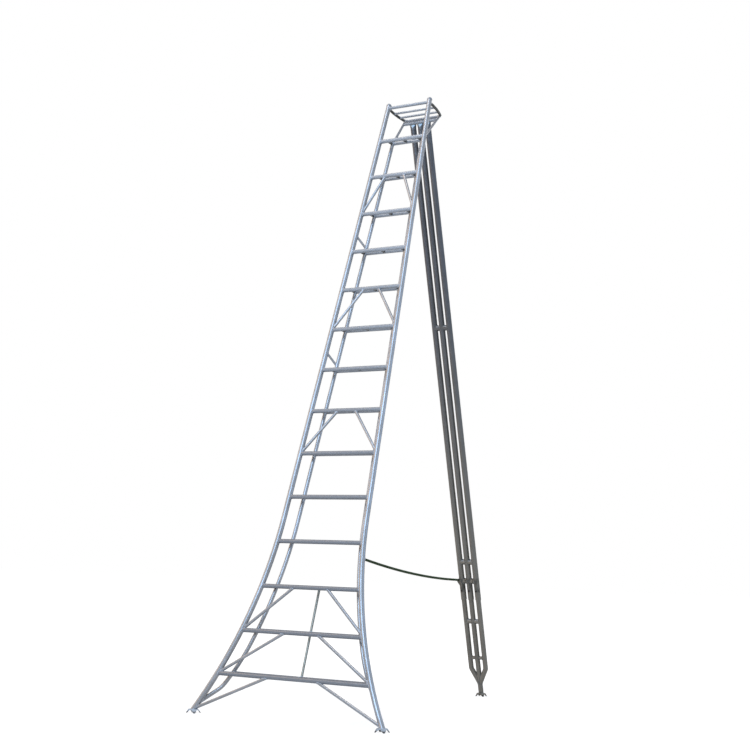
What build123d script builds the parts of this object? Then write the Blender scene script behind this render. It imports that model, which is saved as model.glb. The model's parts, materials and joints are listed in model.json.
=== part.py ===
from build123d import *
from math import asin, cos, pi, radians, sin, tan
import os

# Tripod orchard ladder in welded aluminium tube, standing open on three claw feet
# Millimetres and degrees; X across the treads, Y from the climber towards the leg, Z up from the ground

# Stance
LEAN = 16.5  # ladder face from the vertical
SPREAD = 2724.0  # front foot plates to the leg's foot plate
FOOT_HALF = 687.0  # middle of the ladder to a front foot plate

# Stiles: straight above, one arc outwards below
STILE_LENGTH = 4543.0  # along the tube
STILE_OUTER = 35.0
STILE_WALL = 2.0
STILE_TAPER = 2.57  # lean inwards of the straight length
FOOT_SPLAY = 30.0  # lean outwards at the foot
FLARE_RADIUS = 2815.0
CAP_OUTER = 38.0  # round on top, as wide as high
CAP_RIM = 2.0
CAP_PLUG = 22.0
CAP_CLEARANCE = 0.1

# Treads: a front bar, a rear bar level with it and three links
TREAD_COUNT = 14
TREAD_FIRST = 268.0  # along the stile from the foot plate
TREAD_PITCH = 305.0  # along the stile
TREAD_DEPTH = 79.0  # front bar to rear bar
TREAD_OUTER = 28.0
TREAD_WALL = 2.0
REAR_OUTER = 24.0
REAR_WALL = 1.8
LINK_OUTER = 18.0
LINK_WALL = 1.6

# Rear rails behind the stiles, flared tighter near the foot and bent forward into the stiles
RAIL_OUTER = 26.0
RAIL_WALL = 2.0
RAIL_INSET = 61.0  # inwards of the stile
RAIL_TOP = 15.0  # past the highest rear bar
RAIL_TURN = 450.0  # rise where the tighter arc begins
RAIL_TURN_RADIUS = 1200.0
RAIL_FLARE_END = 195.0  # rise where the tighter arc ends
RAIL_LEAD = 36.0  # straight length down to the bend's corner
RAIL_BEND_RADIUS = 145.0
RAIL_FOOT = 42.0  # rise where the rail meets the stile

# Braces under some treads, from the front bar to the stile at the next tread
BRACE_OUTER = 19.0
BRACE_WALL = 1.6
BRACE_STARTS = {13: 74.0, 10: 56.0, 7: 66.0, 3: 121.0, 2: 119.0, 1: 173.0}
BRACE_FOOT_LIFT = 4.0  # of the lowest brace, above the foot plate

# Side struts from stile to rear rail
SIDE_STRUT_TREADS = (8, 11)
SIDE_STRUT_OUTER = 16.0
SIDE_STRUT_WALL = 1.6
SIDE_STRUT_HIGH = 136.0  # on the stile, above the tread
SIDE_STRUT_LOW = 62.0  # on the rail, above the tread

# Upright rods between the lowest rear bars
CENTRE_ROD_TREADS = (2, 3)
CENTRE_ROD_OUTER = 16.0
CENTRE_ROD_WALL = 1.6
CENTRE_ROD_X = 18.0

# Top bar and the open cradle behind it
TOP_BAR_OUTER = 22.0
TOP_BAR_WALL = 1.8
TOP_BAR_DROP = 18.0  # below the end of the stile tube
CRADLE_OUTER = 20.0
CRADLE_WALL = 2.0
CRADLE_DEPTH = 225.0
CRADLE_REAR_HALF = 149.0
CRADLE_TILT = 8.2  # rise of the cradle from square to the face
CRADLE_BEND_RADIUS = 26.0
CRADLE_BOW = 12.0  # corner of the side runs outwards, halfway
CRADLE_BOW_RADIUS = 600.0
CRADLE_BAR_OUTER = 16.0
CRADLE_BAR_WALL = 1.6
CRADLE_BAR_PLACES = (90.0, 160.0)  # from the top bar
STRUT_OUTER = 18.0
STRUT_WALL = 1.8

# Hinge of the leg, between the cradle struts
HINGE_DROP = 54.0  # below the cradle along the strut
HINGE_ROD = 16.0
HINGE_CLEARANCE = 0.1  # radial
HINGE_END_PLAY = 2.0
BARREL_OUTER = 24.0

# Upper leg: three tubes side by side with flattened tops
LEG_PITCH = 61.0
LEG_OUTER = 44.0
LEG_WALL = 2.0
LEG_UPPER_END = 3642.0  # below the hinge along the leg
FLAT_LENGTH = 48.0
FLAT_WIDTH = 56.0
FLAT_THICK = 10.0
FLAT_FACET = 40.0  # part of the round tube pressed into each flat
UPPER_SPACERS = (1535.0, 3345.0, 3495.0)  # below the hinge along the leg
SPACER_OUTER = 42.0
SPACER_WALL = 3.0

# Lower leg: three tubes inside the upper ones, the outer two bent in to the middle one
LOWER_OUTER = 38.0
LOWER_WALL = 2.0
LOWER_OVERLAP = 600.0  # length inside the upper tubes
LOWER_BEND = 198.0  # above the foot plate along the leg
LOWER_MERGE = 80.0  # above the foot plate along the leg
LOWER_BEND_RADIUS = 40.0
LOWER_SPACERS = {575.0: 36.0, 284.0: 26.0}  # above the foot plate along the leg: outer diameter

# Lock bolts through the front of the upper tubes
BOLT_PLACE = 3568.0  # below the hinge along the leg
BOLT_SHANK = 8.0
BOLT_HEAD = 12.0  # across the flats
BOLT_HEAD_HEIGHT = 7.0
BOLT_TIP_GAP = 0.2  # to the inner tube

# Rope lug on the left upper tube, slotted from above, and a holed one on the right rear rail
LUG_PLACE = 3495.0  # slot, below the hinge along the leg
LUG_BACK = 15.0  # behind the leg's middle plane
LUG_HORN = 4.0  # above the slot's centre
LUG_DROP = 57.0  # below the slot's centre
LUG_THICK = 6.0
LUG_ROOT = 2.5  # between tube and rope hole
LUG_RIM = 4.5  # outside the rope hole
EYE_RISE = 1037.0  # hole, up the rail's face
EYE_LENGTH = 44.0  # along the rail
EYE_ROOT_WIDTH = 10.0  # inside the rail's outline

# Foot plates: a square plate with its four corners bent down as claws
FOOT_HEIGHT = 24.0
FOOT_PLATE = 5.0
FOOT_SIDE = 64.0
FOOT_CORNER = 22.0
CLAW_REACH = 15.0
CLAW_TIP = 6.0

# Tie rope: a light sag between the two lugs, held by a stopper knot past each
ROPE_OUTER = 16.0
ROPE_HOLE_CLEARANCE = 2.0  # radial
KNOT_OUTER = 28.0
KNOT_SEAT = 0.1  # to the lug
KNOT_GAP = 0.3  # rope's end to the knot on the leg
ROPE_POINTS = [
    (261.5, -794.5, 977),
    (220, -572.5, 957.5),
    (180.5, -361.5, 941),
    (141, -150.5, 926.5),
    (101.5, 60.5, 914.5),
    (62, 271.5, 904),
    (23, 482.5, 896),
    (-16.5, 693.5, 890),
    (-58, 915, 886.5),
]

os.makedirs("parts", exist_ok=True)

# Reference planes: the ladder's face seen from the climber, the rails' face behind it
LADDER = Plane(
    origin=(0, -SPREAD / 2, FOOT_HEIGHT),
    x_dir=(1, 0, 0),
    z_dir=(0, -cos(radians(LEAN)), sin(radians(LEAN))),
)
RAIL_BACK = TREAD_DEPTH * cos(radians(LEAN))
RAIL_STEP = TREAD_DEPTH * sin(radians(LEAN))
RAILS = LADDER.offset(-RAIL_BACK)

# The flare of the stiles
SPLAY_SIN = sin(radians(FOOT_SPLAY))
SPLAY_COS = cos(radians(FOOT_SPLAY))
FLARE_RISE = FLARE_RADIUS * (SPLAY_SIN - sin(radians(STILE_TAPER)))
FLARE_HALF = FOOT_HALF - FLARE_RADIUS * (cos(radians(STILE_TAPER)) - SPLAY_COS)
FLARE_ARC = FLARE_RADIUS * radians(FOOT_SPLAY - STILE_TAPER)


def face(x, rise, back=0.0):
    """Point x across, rise up the ladder's face and back behind it."""
    return LADDER.from_local_coords(Vector(x, rise, -back))


def rise_along(length):
    """Rise up the face after a length along the stile from its foot."""
    if length < FLARE_ARC:
        splay = radians(FOOT_SPLAY) - length / FLARE_RADIUS
        return FLARE_RADIUS * (SPLAY_SIN - sin(splay))
    return FLARE_RISE + (length - FLARE_ARC) * cos(radians(STILE_TAPER))


def splay_at(rise):
    """Lean outwards of the stile, in radians, at a rise within the flare."""
    return asin(SPLAY_SIN - rise / FLARE_RADIUS)


def half_width(rise):
    """Middle of the ladder to the stile's centre line at a rise up the face."""
    if rise < FLARE_RISE:
        return FOOT_HALF - FLARE_RADIUS * (cos(splay_at(rise)) - SPLAY_COS)
    return FLARE_HALF - (rise - FLARE_RISE) * tan(radians(STILE_TAPER))


def rail_splay_at(rise):
    """Lean outwards of the rear rail, in radians, at a rise within its tighter arc."""
    return asin(sin(splay_at(RAIL_TURN)) + (RAIL_TURN - rise) / RAIL_TURN_RADIUS)


def rail_half(rise):
    """Middle of the ladder to the rear rail's centre line at a rise up its face."""
    if rise < RAIL_TURN:
        turned = RAIL_TURN_RADIUS * (cos(splay_at(RAIL_TURN)) - cos(rail_splay_at(rise)))
        return half_width(RAIL_TURN) - RAIL_INSET + turned
    return half_width(rise) - RAIL_INSET


def tread_rise(tread):
    """Rise of a tread's front bar, treads counted from the ground."""
    return rise_along(TREAD_FIRST + (tread - 1) * TREAD_PITCH)


def save(part, name):
    """Label a finished piece and write it under its own name."""
    part.label = name
    export_step(part, f"parts/{name}.step")


def straight_tube(start, end, outer, wall, trims=()):
    """Tube from start to end, its ends coped to the solid bars in trims; no wall leaves it solid."""
    with BuildPart() as tube:
        with BuildSketch(Plane(origin=start, z_dir=end - start)):
            Circle(outer / 2)
            if wall:
                Circle(outer / 2 - wall, mode=Mode.SUBTRACT)
        extrude(amount=(end - start).length)
        for trim in trims:
            add(trim, mode=Mode.SUBTRACT)
    return tube.part


def bent_tube(path, outer, wall, trims=()):
    """Tube along a path, its ends coped to the solid bars in trims; no wall leaves it solid."""
    with BuildPart() as tube:
        with BuildSketch(Plane(origin=path @ 0, z_dir=path % 0)):
            Circle(outer / 2)
            if wall:
                Circle(outer / 2 - wall, mode=Mode.SUBTRACT)
        sweep(path=path)
        for trim in trims:
            add(trim, mode=Mode.SUBTRACT)
    return tube.part


def mirrored(part):
    """The same piece on the other side of the ladder."""
    with BuildPart() as other:
        mirror(part, about=Plane.YZ)
    return other.part


# Foot plates
PLATE_TOP = Plane.XY.offset(FOOT_HEIGHT)
CLAW_ROOT = FOOT_SIDE / 2 * 2**0.5 - FOOT_CORNER / 2**0.5
CLAW_WIDTH = FOOT_CORNER * 2**0.5

with BuildPart() as claw:
    with BuildSketch(Plane.XZ):
        with BuildLine():
            Polyline(
                (CLAW_ROOT - FOOT_PLATE, FOOT_HEIGHT),
                (CLAW_ROOT, FOOT_HEIGHT),
                (CLAW_ROOT + CLAW_REACH, FOOT_PLATE),
                (CLAW_ROOT + CLAW_REACH, 0),
                (CLAW_ROOT + CLAW_REACH - FOOT_PLATE / 2, 0),
                (CLAW_ROOT - FOOT_PLATE, FOOT_HEIGHT - FOOT_PLATE),
                close=True,
            )
        make_face()
    extrude(amount=CLAW_WIDTH / 2, both=True)
    with BuildSketch():
        with BuildLine():
            Polyline(
                (CLAW_ROOT - FOOT_PLATE, -CLAW_WIDTH / 2),
                (CLAW_ROOT, -CLAW_WIDTH / 2),
                (CLAW_ROOT + CLAW_REACH, -CLAW_TIP / 2),
                (CLAW_ROOT + CLAW_REACH, CLAW_TIP / 2),
                (CLAW_ROOT, CLAW_WIDTH / 2),
                (CLAW_ROOT - FOOT_PLATE, CLAW_WIDTH / 2),
                close=True,
            )
        make_face()
    extrude(amount=FOOT_HEIGHT, mode=Mode.INTERSECT)

with BuildPart() as foot:
    with BuildSketch(PLATE_TOP):
        plate = Rectangle(FOOT_SIDE, FOOT_SIDE)
        chamfer(plate.vertices(), FOOT_CORNER)
    extrude(amount=-FOOT_PLATE)
    with PolarLocations(0, 4, start_angle=45):
        add(claw.part)

for name, x, y in (
    ("foot_left", -FOOT_HALF, -SPREAD / 2),
    ("foot_right", FOOT_HALF, -SPREAD / 2),
    ("foot_leg", 0, SPREAD / 2),
):
    with BuildPart() as placed_foot:
        with Locations((x, y, 0)):
            add(foot.part)
    save(placed_foot.part, name)

# Stiles, cut level where they stand on the foot plates
STILE_START = -2 * STILE_OUTER
STILE_TOP = rise_along(STILE_LENGTH)

with BuildLine(LADDER) as stile_line:
    Line((FOOT_HALF - STILE_START * SPLAY_SIN, STILE_START * SPLAY_COS), (FOOT_HALF, 0))
    ThreePointArc(
        (FOOT_HALF, 0),
        (half_width(rise_along(FLARE_ARC / 2)), rise_along(FLARE_ARC / 2)),
        (FLARE_HALF, FLARE_RISE),
    )
    Line((FLARE_HALF, FLARE_RISE), (half_width(STILE_TOP), STILE_TOP))

with BuildPart() as stile_right:
    add(bent_tube(stile_line.line, STILE_OUTER, STILE_WALL))
    split(bisect_by=PLATE_TOP, keep=Keep.TOP)
stile_right_bar = bent_tube(stile_line.line, STILE_OUTER, None)
stile_left_bar = mirrored(stile_right_bar)
stile_bars = (stile_left_bar, stile_right_bar)
save(stile_right.part, "stile_right")
save(mirrored(stile_right.part), "stile_left")

# Round caps on the stile tops
with BuildPart() as cap_right:
    with BuildSketch(Plane.XZ):
        with BuildLine():
            Polyline(
                (0, CAP_RIM + CAP_OUTER / 2),
                (0, -CAP_PLUG),
                (STILE_OUTER / 2 - STILE_WALL - CAP_CLEARANCE, -CAP_PLUG),
                (STILE_OUTER / 2 - STILE_WALL - CAP_CLEARANCE, 0),
                (CAP_OUTER / 2, 0),
                (CAP_OUTER / 2, CAP_RIM),
            )
            CenterArc((0, CAP_RIM), CAP_OUTER / 2, 0, 90)
        make_face()
    revolve(axis=Axis.Z)
cap_place = Plane(origin=stile_line.line @ 1, z_dir=stile_line.line % 1)
with BuildPart() as stile_caps:
    with Locations(cap_place):
        add(cap_right.part)
    mirror(about=Plane.YZ)
save(stile_caps.part, "stile_caps")

# Rear rails
RAIL_END = tread_rise(TREAD_COUNT) + RAIL_STEP + RAIL_TOP
UPPER_MIDDLE = (FLARE_RISE + RAIL_TURN) / 2
LOWER_MIDDLE = (RAIL_TURN + RAIL_FLARE_END) / 2
LEAD_SPLAY = rail_splay_at(RAIL_FLARE_END)

with BuildLine(RAILS) as rail_line:
    Line((rail_half(RAIL_END), RAIL_END), (rail_half(FLARE_RISE), FLARE_RISE))
    ThreePointArc(
        (rail_half(FLARE_RISE), FLARE_RISE),
        (rail_half(UPPER_MIDDLE), UPPER_MIDDLE),
        (rail_half(RAIL_TURN), RAIL_TURN),
    )
    ThreePointArc(
        (rail_half(RAIL_TURN), RAIL_TURN),
        (rail_half(LOWER_MIDDLE), LOWER_MIDDLE),
        (rail_half(RAIL_FLARE_END), RAIL_FLARE_END),
    )
    FilletPolyline(
        (rail_half(RAIL_FLARE_END), RAIL_FLARE_END, 0),
        (
            rail_half(RAIL_FLARE_END) + RAIL_LEAD * sin(LEAD_SPLAY),
            RAIL_FLARE_END - RAIL_LEAD * cos(LEAD_SPLAY),
            0,
        ),
        (half_width(RAIL_FOOT), RAIL_FOOT, RAIL_BACK),
        radius=RAIL_BEND_RADIUS,
    )

rail_right = bent_tube(rail_line.line, RAIL_OUTER, RAIL_WALL, [stile_right_bar])
rail_right_bar = bent_tube(rail_line.line, RAIL_OUTER, None)
rail_left_bar = mirrored(rail_right_bar)
rail_bars = (rail_left_bar, rail_right_bar)
save(rail_right, "rear_rail_right")
save(mirrored(rail_right), "rear_rail_left")

# Treads
front_solids = {}
rear_solids = {}
links = []
for tread in range(1, TREAD_COUNT + 1):
    rise = tread_rise(tread)
    half = half_width(rise)
    front = (face(-half, rise), face(half, rise))
    front_solids[tread] = straight_tube(*front, TREAD_OUTER, None)
    save(straight_tube(*front, TREAD_OUTER, TREAD_WALL, stile_bars), f"tread_bar_{tread:02d}")

    rail_rise = rise + RAIL_STEP
    rail_x = rail_half(rail_rise)
    rear = (face(-rail_x, rail_rise, RAIL_BACK), face(rail_x, rail_rise, RAIL_BACK))
    rear_solids[tread] = straight_tube(*rear, REAR_OUTER, None)
    save(straight_tube(*rear, REAR_OUTER, REAR_WALL, rail_bars), f"rear_bar_{tread:02d}")

    for x in (-rail_x, 0, rail_x):
        ends = (face(x, rise), face(x, rail_rise, RAIL_BACK))
        trims = [front_solids[tread], rear_solids[tread], *rail_bars]
        links.append(straight_tube(*ends, LINK_OUTER, LINK_WALL, trims))

with BuildPart() as tread_links:
    add(links)
save(tread_links.part, "tread_links")

# Braces in the ladder's face
with BuildPart() as front_braces:
    for tread, start in BRACE_STARTS.items():
        below = tread_rise(tread - 1) if tread > 1 else BRACE_FOOT_LIFT
        ends = (face(start, tread_rise(tread)), face(half_width(below), below))
        trims = [front_solids[tread], stile_right_bar]
        if tread > 1:
            trims.append(front_solids[tread - 1])
        add(straight_tube(*ends, BRACE_OUTER, BRACE_WALL, trims))
    mirror(about=Plane.YZ)
save(front_braces.part, "front_braces")

# Side struts between stile and rail
with BuildPart() as side_struts:
    for tread in SIDE_STRUT_TREADS:
        high = tread_rise(tread) + SIDE_STRUT_HIGH
        low = tread_rise(tread) + SIDE_STRUT_LOW
        ends = (face(half_width(high), high), face(rail_half(low), low, RAIL_BACK))
        add(straight_tube(*ends, SIDE_STRUT_OUTER, SIDE_STRUT_WALL, [stile_right_bar, rail_right_bar]))
    mirror(about=Plane.YZ)
save(side_struts.part, "side_struts")

# Upright rods between the lowest rear bars
with BuildPart() as centre_rods:
    for tread in CENTRE_ROD_TREADS:
        high = tread_rise(tread) + RAIL_STEP
        low = tread_rise(tread - 1) + RAIL_STEP
        ends = (face(CENTRE_ROD_X, high, RAIL_BACK), face(CENTRE_ROD_X, low, RAIL_BACK))
        trims = [rear_solids[tread], rear_solids[tread - 1]]
        add(straight_tube(*ends, CENTRE_ROD_OUTER, CENTRE_ROD_WALL, trims))
save(centre_rods.part, "centre_rods")

# Top bar
TOP_RISE = STILE_TOP - TOP_BAR_DROP
TOP_HALF = half_width(TOP_RISE)
top_ends = (face(-TOP_HALF, TOP_RISE), face(TOP_HALF, TOP_RISE))
save(straight_tube(*top_ends, TOP_BAR_OUTER, TOP_BAR_WALL, stile_bars), "top_bar")

# Cradle: a U-bent tube with bowed sides behind the stile tops, and two cross bars
CRADLE = Plane(
    origin=face(0, TOP_RISE),
    x_dir=(1, 0, 0),
    z_dir=(0, -sin(radians(CRADLE_TILT - LEAN)), cos(radians(CRADLE_TILT - LEAN))),
)
BOW_HALF = (TOP_HALF + CRADLE_REAR_HALF) / 2 + CRADLE_BOW
with BuildLine(CRADLE) as cradle_line:
    FilletPolyline(
        (-TOP_HALF, 0),
        (-BOW_HALF, CRADLE_DEPTH / 2),
        (-CRADLE_REAR_HALF, CRADLE_DEPTH),
        (CRADLE_REAR_HALF, CRADLE_DEPTH),
        (BOW_HALF, CRADLE_DEPTH / 2),
        (TOP_HALF, 0),
        radius=[CRADLE_BOW_RADIUS, CRADLE_BEND_RADIUS, CRADLE_BEND_RADIUS, CRADLE_BOW_RADIUS],
    )
cradle_bar = bent_tube(cradle_line.line, CRADLE_OUTER, None)
save(bent_tube(cradle_line.line, CRADLE_OUTER, CRADLE_WALL, stile_bars), "cradle_frame")

with BuildPart() as cradle_bars:
    for place in CRADLE_BAR_PLACES:
        x = TOP_HALF - (TOP_HALF - CRADLE_REAR_HALF) * place / CRADLE_DEPTH + CRADLE_BOW
        ends = (CRADLE.from_local_coords(Vector(-x, place)), CRADLE.from_local_coords(Vector(x, place)))
        add(straight_tube(*ends, CRADLE_BAR_OUTER, CRADLE_BAR_WALL, [cradle_bar]))
save(cradle_bars.part, "cradle_bars")

# Struts from the rear rails' tops to the cradle's rear corners
corner_arcs = cradle_line.line.edges().filter_by(GeomType.CIRCLE).group_by(Axis.Y)[-1]
STRUT_LOW = tread_rise(TREAD_COUNT) + RAIL_STEP
strut_low = face(rail_half(STRUT_LOW), STRUT_LOW, RAIL_BACK)
strut_high = corner_arcs.sort_by(Axis.X)[-1] @ 0.5
strut_trims = [cradle_bar, rail_right_bar, rear_solids[TREAD_COUNT], links[-1]]
strut_right = straight_tube(strut_low, strut_high, STRUT_OUTER, STRUT_WALL, strut_trims)
strut_right_bar = straight_tube(strut_low, strut_high, STRUT_OUTER, None)
strut_bars = (mirrored(strut_right_bar), strut_right_bar)
with BuildPart() as cradle_struts:
    add(strut_right)
    mirror(about=Plane.YZ)
save(cradle_struts.part, "cradle_struts")

# Hinge rod between the struts, and the leg's barrel on it
strut_way = (strut_low - strut_high).normalized()
hinge_right = strut_high + strut_way * HINGE_DROP
HINGE = Vector(0, hinge_right.Y, hinge_right.Z)
hinge_ends = (Vector(-hinge_right.X, HINGE.Y, HINGE.Z), hinge_right)
save(straight_tube(*hinge_ends, HINGE_ROD, None, strut_bars), "hinge_rod")

STRUT_TILT = asin(abs(strut_way.X))
BARREL_HALF = (
    hinge_right.X
    - STRUT_OUTER / 2 / cos(STRUT_TILT)
    - BARREL_OUTER / 2 * tan(STRUT_TILT)
    - HINGE_END_PLAY
)
barrel_ends = (HINGE - Vector(BARREL_HALF, 0, 0), HINGE + Vector(BARREL_HALF, 0, 0))
barrel_wall = (BARREL_OUTER - HINGE_ROD) / 2 - HINGE_CLEARANCE
save(straight_tube(*barrel_ends, BARREL_OUTER, barrel_wall), "hinge_barrel")
barrel_bar = straight_tube(*barrel_ends, BARREL_OUTER, None)

# Leg plane: local Y runs down the leg from the hinge, local Z to its rear
leg_foot = Vector(0, SPREAD / 2, FOOT_HEIGHT)
leg_way = (leg_foot - HINGE).normalized()
LEG_LENGTH = (leg_foot - HINGE).length
LEG = Plane(origin=HINGE, x_dir=(1, 0, 0), z_dir=Vector(1, 0, 0).cross(leg_way))


def on_leg(x, down, back=0.0):
    """Point x across, down the leg from the hinge and back behind its middle plane."""
    return LEG.from_local_coords(Vector(x, down, back))


def leg_section(down):
    """Plane square to the leg, its local Y to the leg's front."""
    return Plane(origin=on_leg(0, down), x_dir=(1, 0, 0), z_dir=leg_way)


def round_outline(radius, facet):
    """Circle in four arcs, the two short ones facing front and rear."""
    angle = 180 * facet / (2 * pi * radius)
    CenterArc((0, 0), radius, 90 - angle, 2 * angle)
    CenterArc((0, 0), radius, 90 + angle, 180 - 2 * angle)
    CenterArc((0, 0), radius, 270 - angle, 2 * angle)
    CenterArc((0, 0), radius, 270 + angle, 180 - 2 * angle)


def flat_outline(width, thick):
    """Pressed tube end: two flats joined by round edges."""
    edge = (width - thick) / 2
    Line((edge, thick / 2), (-edge, thick / 2))
    ThreePointArc((-edge, thick / 2), (-width / 2, 0), (-edge, -thick / 2))
    Line((-edge, -thick / 2), (edge, -thick / 2))
    ThreePointArc((edge, -thick / 2), (width / 2, 0), (edge, thick / 2))


# Lock bolts
bolt_face = Plane(origin=on_leg(0, BOLT_PLACE, -LEG_OUTER / 2), x_dir=(1, 0, 0), z_dir=LEG.z_dir)
BOLT_REACH = (LEG_OUTER - LOWER_OUTER) / 2 - BOLT_TIP_GAP
with BuildPart() as bolt:
    with BuildSketch(bolt_face):
        Circle(BOLT_SHANK / 2)
    extrude(amount=BOLT_REACH)
    with BuildSketch(bolt_face):
        RegularPolygon(BOLT_HEAD / 2, 6, major_radius=False)
    extrude(amount=-BOLT_HEAD_HEIGHT)
with BuildPart() as lock_bolts:
    with Locations((-LEG_PITCH, 0, 0), (0, 0, 0), (LEG_PITCH, 0, 0)):
        add(bolt.part)
save(lock_bolts.part, "lock_bolts")

# Upper leg tubes, pressed flat at the top and coped to the barrel
with BuildPart() as leg_upper_centre:
    with BuildSketch(leg_section(FLAT_LENGTH)):
        Circle(LEG_OUTER / 2)
        Circle(LEG_OUTER / 2 - LEG_WALL, mode=Mode.SUBTRACT)
    extrude(amount=LEG_UPPER_END - FLAT_LENGTH)
    for inset, mode in ((0, Mode.ADD), (LEG_WALL, Mode.SUBTRACT)):
        with BuildSketch(leg_section(FLAT_LENGTH)) as round_end:
            with BuildLine():
                round_outline(LEG_OUTER / 2 - inset, FLAT_FACET * (1 - 2 * inset / LEG_OUTER))
            make_face()
        with BuildSketch(leg_section(0)) as flat_end:
            with BuildLine():
                flat_outline(FLAT_WIDTH - 2 * inset, FLAT_THICK - 2 * inset)
            make_face()
        loft(ruled=True, mode=mode)
    add(barrel_bar, mode=Mode.SUBTRACT)
    add(bolt.part, mode=Mode.SUBTRACT)
save(leg_upper_centre.part, "leg_upper_centre")
for name, x in (("leg_upper_left", -LEG_PITCH), ("leg_upper_right", LEG_PITCH)):
    with BuildPart() as leg_upper_side:
        with Locations((x, 0, 0)):
            add(leg_upper_centre.part)
    save(leg_upper_side.part, name)

# Spacer stubs between the upper tubes
upper_bars = [
    straight_tube(on_leg(x, 0), on_leg(x, LEG_UPPER_END), LEG_OUTER, None) for x in (-LEG_PITCH, 0, LEG_PITCH)
]
with BuildPart() as leg_upper_spacers:
    for down in UPPER_SPACERS:
        ends = (on_leg(0, down), on_leg(LEG_PITCH, down))
        add(straight_tube(*ends, SPACER_OUTER, SPACER_WALL, upper_bars[1:]))
    mirror(about=Plane.YZ)
save(leg_upper_spacers.part, "leg_upper_spacers")

# Lower leg tubes
LOWER_TOP = LEG_UPPER_END - LOWER_OVERLAP
LOWER_END = LEG_LENGTH + LOWER_OUTER
lower_line = (on_leg(0, LOWER_TOP), on_leg(0, LOWER_END))
with BuildPart() as leg_lower_centre:
    add(straight_tube(*lower_line, LOWER_OUTER, LOWER_WALL))
    split(bisect_by=PLATE_TOP, keep=Keep.TOP)
lower_centre_bar = straight_tube(*lower_line, LOWER_OUTER, None)
save(leg_lower_centre.part, "leg_lower_centre")

with BuildLine(LEG) as lower_side_line:
    FilletPolyline(
        (LEG_PITCH, LOWER_TOP),
        (LEG_PITCH, LEG_LENGTH - LOWER_BEND),
        (0, LEG_LENGTH - LOWER_MERGE),
        radius=LOWER_BEND_RADIUS,
    )
leg_lower_right = bent_tube(lower_side_line.line, LOWER_OUTER, LOWER_WALL, [lower_centre_bar])
lower_side_bar = bent_tube(lower_side_line.line, LOWER_OUTER, None)
save(leg_lower_right, "leg_lower_right")
save(mirrored(leg_lower_right), "leg_lower_left")

# Spacer stubs between the lower tubes
with BuildPart() as leg_lower_spacers:
    for up, outer in LOWER_SPACERS.items():
        ends = (on_leg(0, LEG_LENGTH - up), on_leg(LEG_PITCH, LEG_LENGTH - up))
        add(straight_tube(*ends, outer, SPACER_WALL, [lower_centre_bar, lower_side_bar]))
    mirror(about=Plane.YZ)
save(leg_lower_spacers.part, "leg_lower_spacers")

# Rope lug: a tapered plate welded to the outside of the left upper tube, its slot open at the top
ROPE_HOLE = ROPE_OUTER / 2 + ROPE_HOLE_CLEARANCE
LUG_SIDE = LEG_PITCH + LEG_OUTER / 2
LUG_SLOT_X = LUG_SIDE + LUG_ROOT + ROPE_HOLE
LUG_EDGE = LUG_SLOT_X + ROPE_HOLE + LUG_RIM
with BuildPart() as rope_lug:
    with BuildSketch(LEG.offset(LUG_BACK)):
        with BuildLine():
            Polyline(
                (-LEG_PITCH, LUG_PLACE - LUG_HORN),
                (-LUG_EDGE, LUG_PLACE - LUG_HORN),
                (-LUG_EDGE, LUG_PLACE + ROPE_HOLE + LUG_RIM),
                (-LUG_SIDE, LUG_PLACE + LUG_DROP),
                (-LEG_PITCH, LUG_PLACE + LUG_DROP),
                close=True,
            )
        make_face()
        with Locations((-LUG_SLOT_X, LUG_PLACE)):
            Circle(ROPE_HOLE, mode=Mode.SUBTRACT)
        with Locations((-LUG_SLOT_X, LUG_PLACE - ROPE_HOLE)):
            Rectangle(2 * ROPE_HOLE, 2 * ROPE_HOLE, mode=Mode.SUBTRACT)
    extrude(amount=LUG_THICK / 2, both=True)
    add(upper_bars[0], mode=Mode.SUBTRACT)
save(rope_lug.part, "rope_lug")

# Rope eye: a rounded plate with a hole, welded to the outside of the right rear rail
EYE_X = rail_half(EYE_RISE) + RAIL_OUTER / 2 + LUG_ROOT + ROPE_HOLE
with BuildPart() as rope_eye:
    with BuildSketch(RAILS):
        with Locations((EYE_X, EYE_RISE)):
            Circle(ROPE_HOLE + LUG_RIM)
        with Locations((rail_half(EYE_RISE), EYE_RISE)):
            Rectangle(EYE_ROOT_WIDTH, EYE_LENGTH)
        make_hull()
        with Locations((EYE_X, EYE_RISE)):
            Circle(ROPE_HOLE, mode=Mode.SUBTRACT)
    extrude(amount=LUG_THICK / 2, both=True)
    add(rail_right_bar, mode=Mode.SUBTRACT)
save(rope_eye.part, "rope_eye")

# Stopper knots past the two lugs, flat where the rope comes into them
KNOT_NECK = ((KNOT_OUTER / 2) ** 2 - (ROPE_OUTER / 2) ** 2) ** 0.5


def stopper_knot(hole, way, outwards):
    """Knot on the way out of a lug's hole, and the middle of its flat; outwards is square to the lug."""
    reach = (LUG_THICK / 2 + KNOT_SEAT + KNOT_OUTER / 2) / way.dot(outwards)
    mouth = hole + way * (reach - KNOT_NECK)
    with BuildPart() as knot:
        with Locations(Plane(origin=hole + way * reach, z_dir=way)):
            Sphere(KNOT_OUTER / 2)
        split(bisect_by=Plane(origin=mouth, z_dir=way), keep=Keep.TOP)
    return knot.part, mouth


eye_hole = face(EYE_X, EYE_RISE, RAIL_BACK)
eye_way = (eye_hole - Vector(ROPE_POINTS[0])).normalized()
rope_stopper, rope_start = stopper_knot(eye_hole, eye_way, LADDER.z_dir)
save(rope_stopper, "rope_stopper")

lug_slot = on_leg(-LUG_SLOT_X, LUG_PLACE, LUG_BACK)
lug_way = (lug_slot - Vector(ROPE_POINTS[-1])).normalized()
rope_knot, knot_mouth = stopper_knot(lug_slot, lug_way, LEG.z_dir)
save(rope_knot, "rope_knot")

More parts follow.
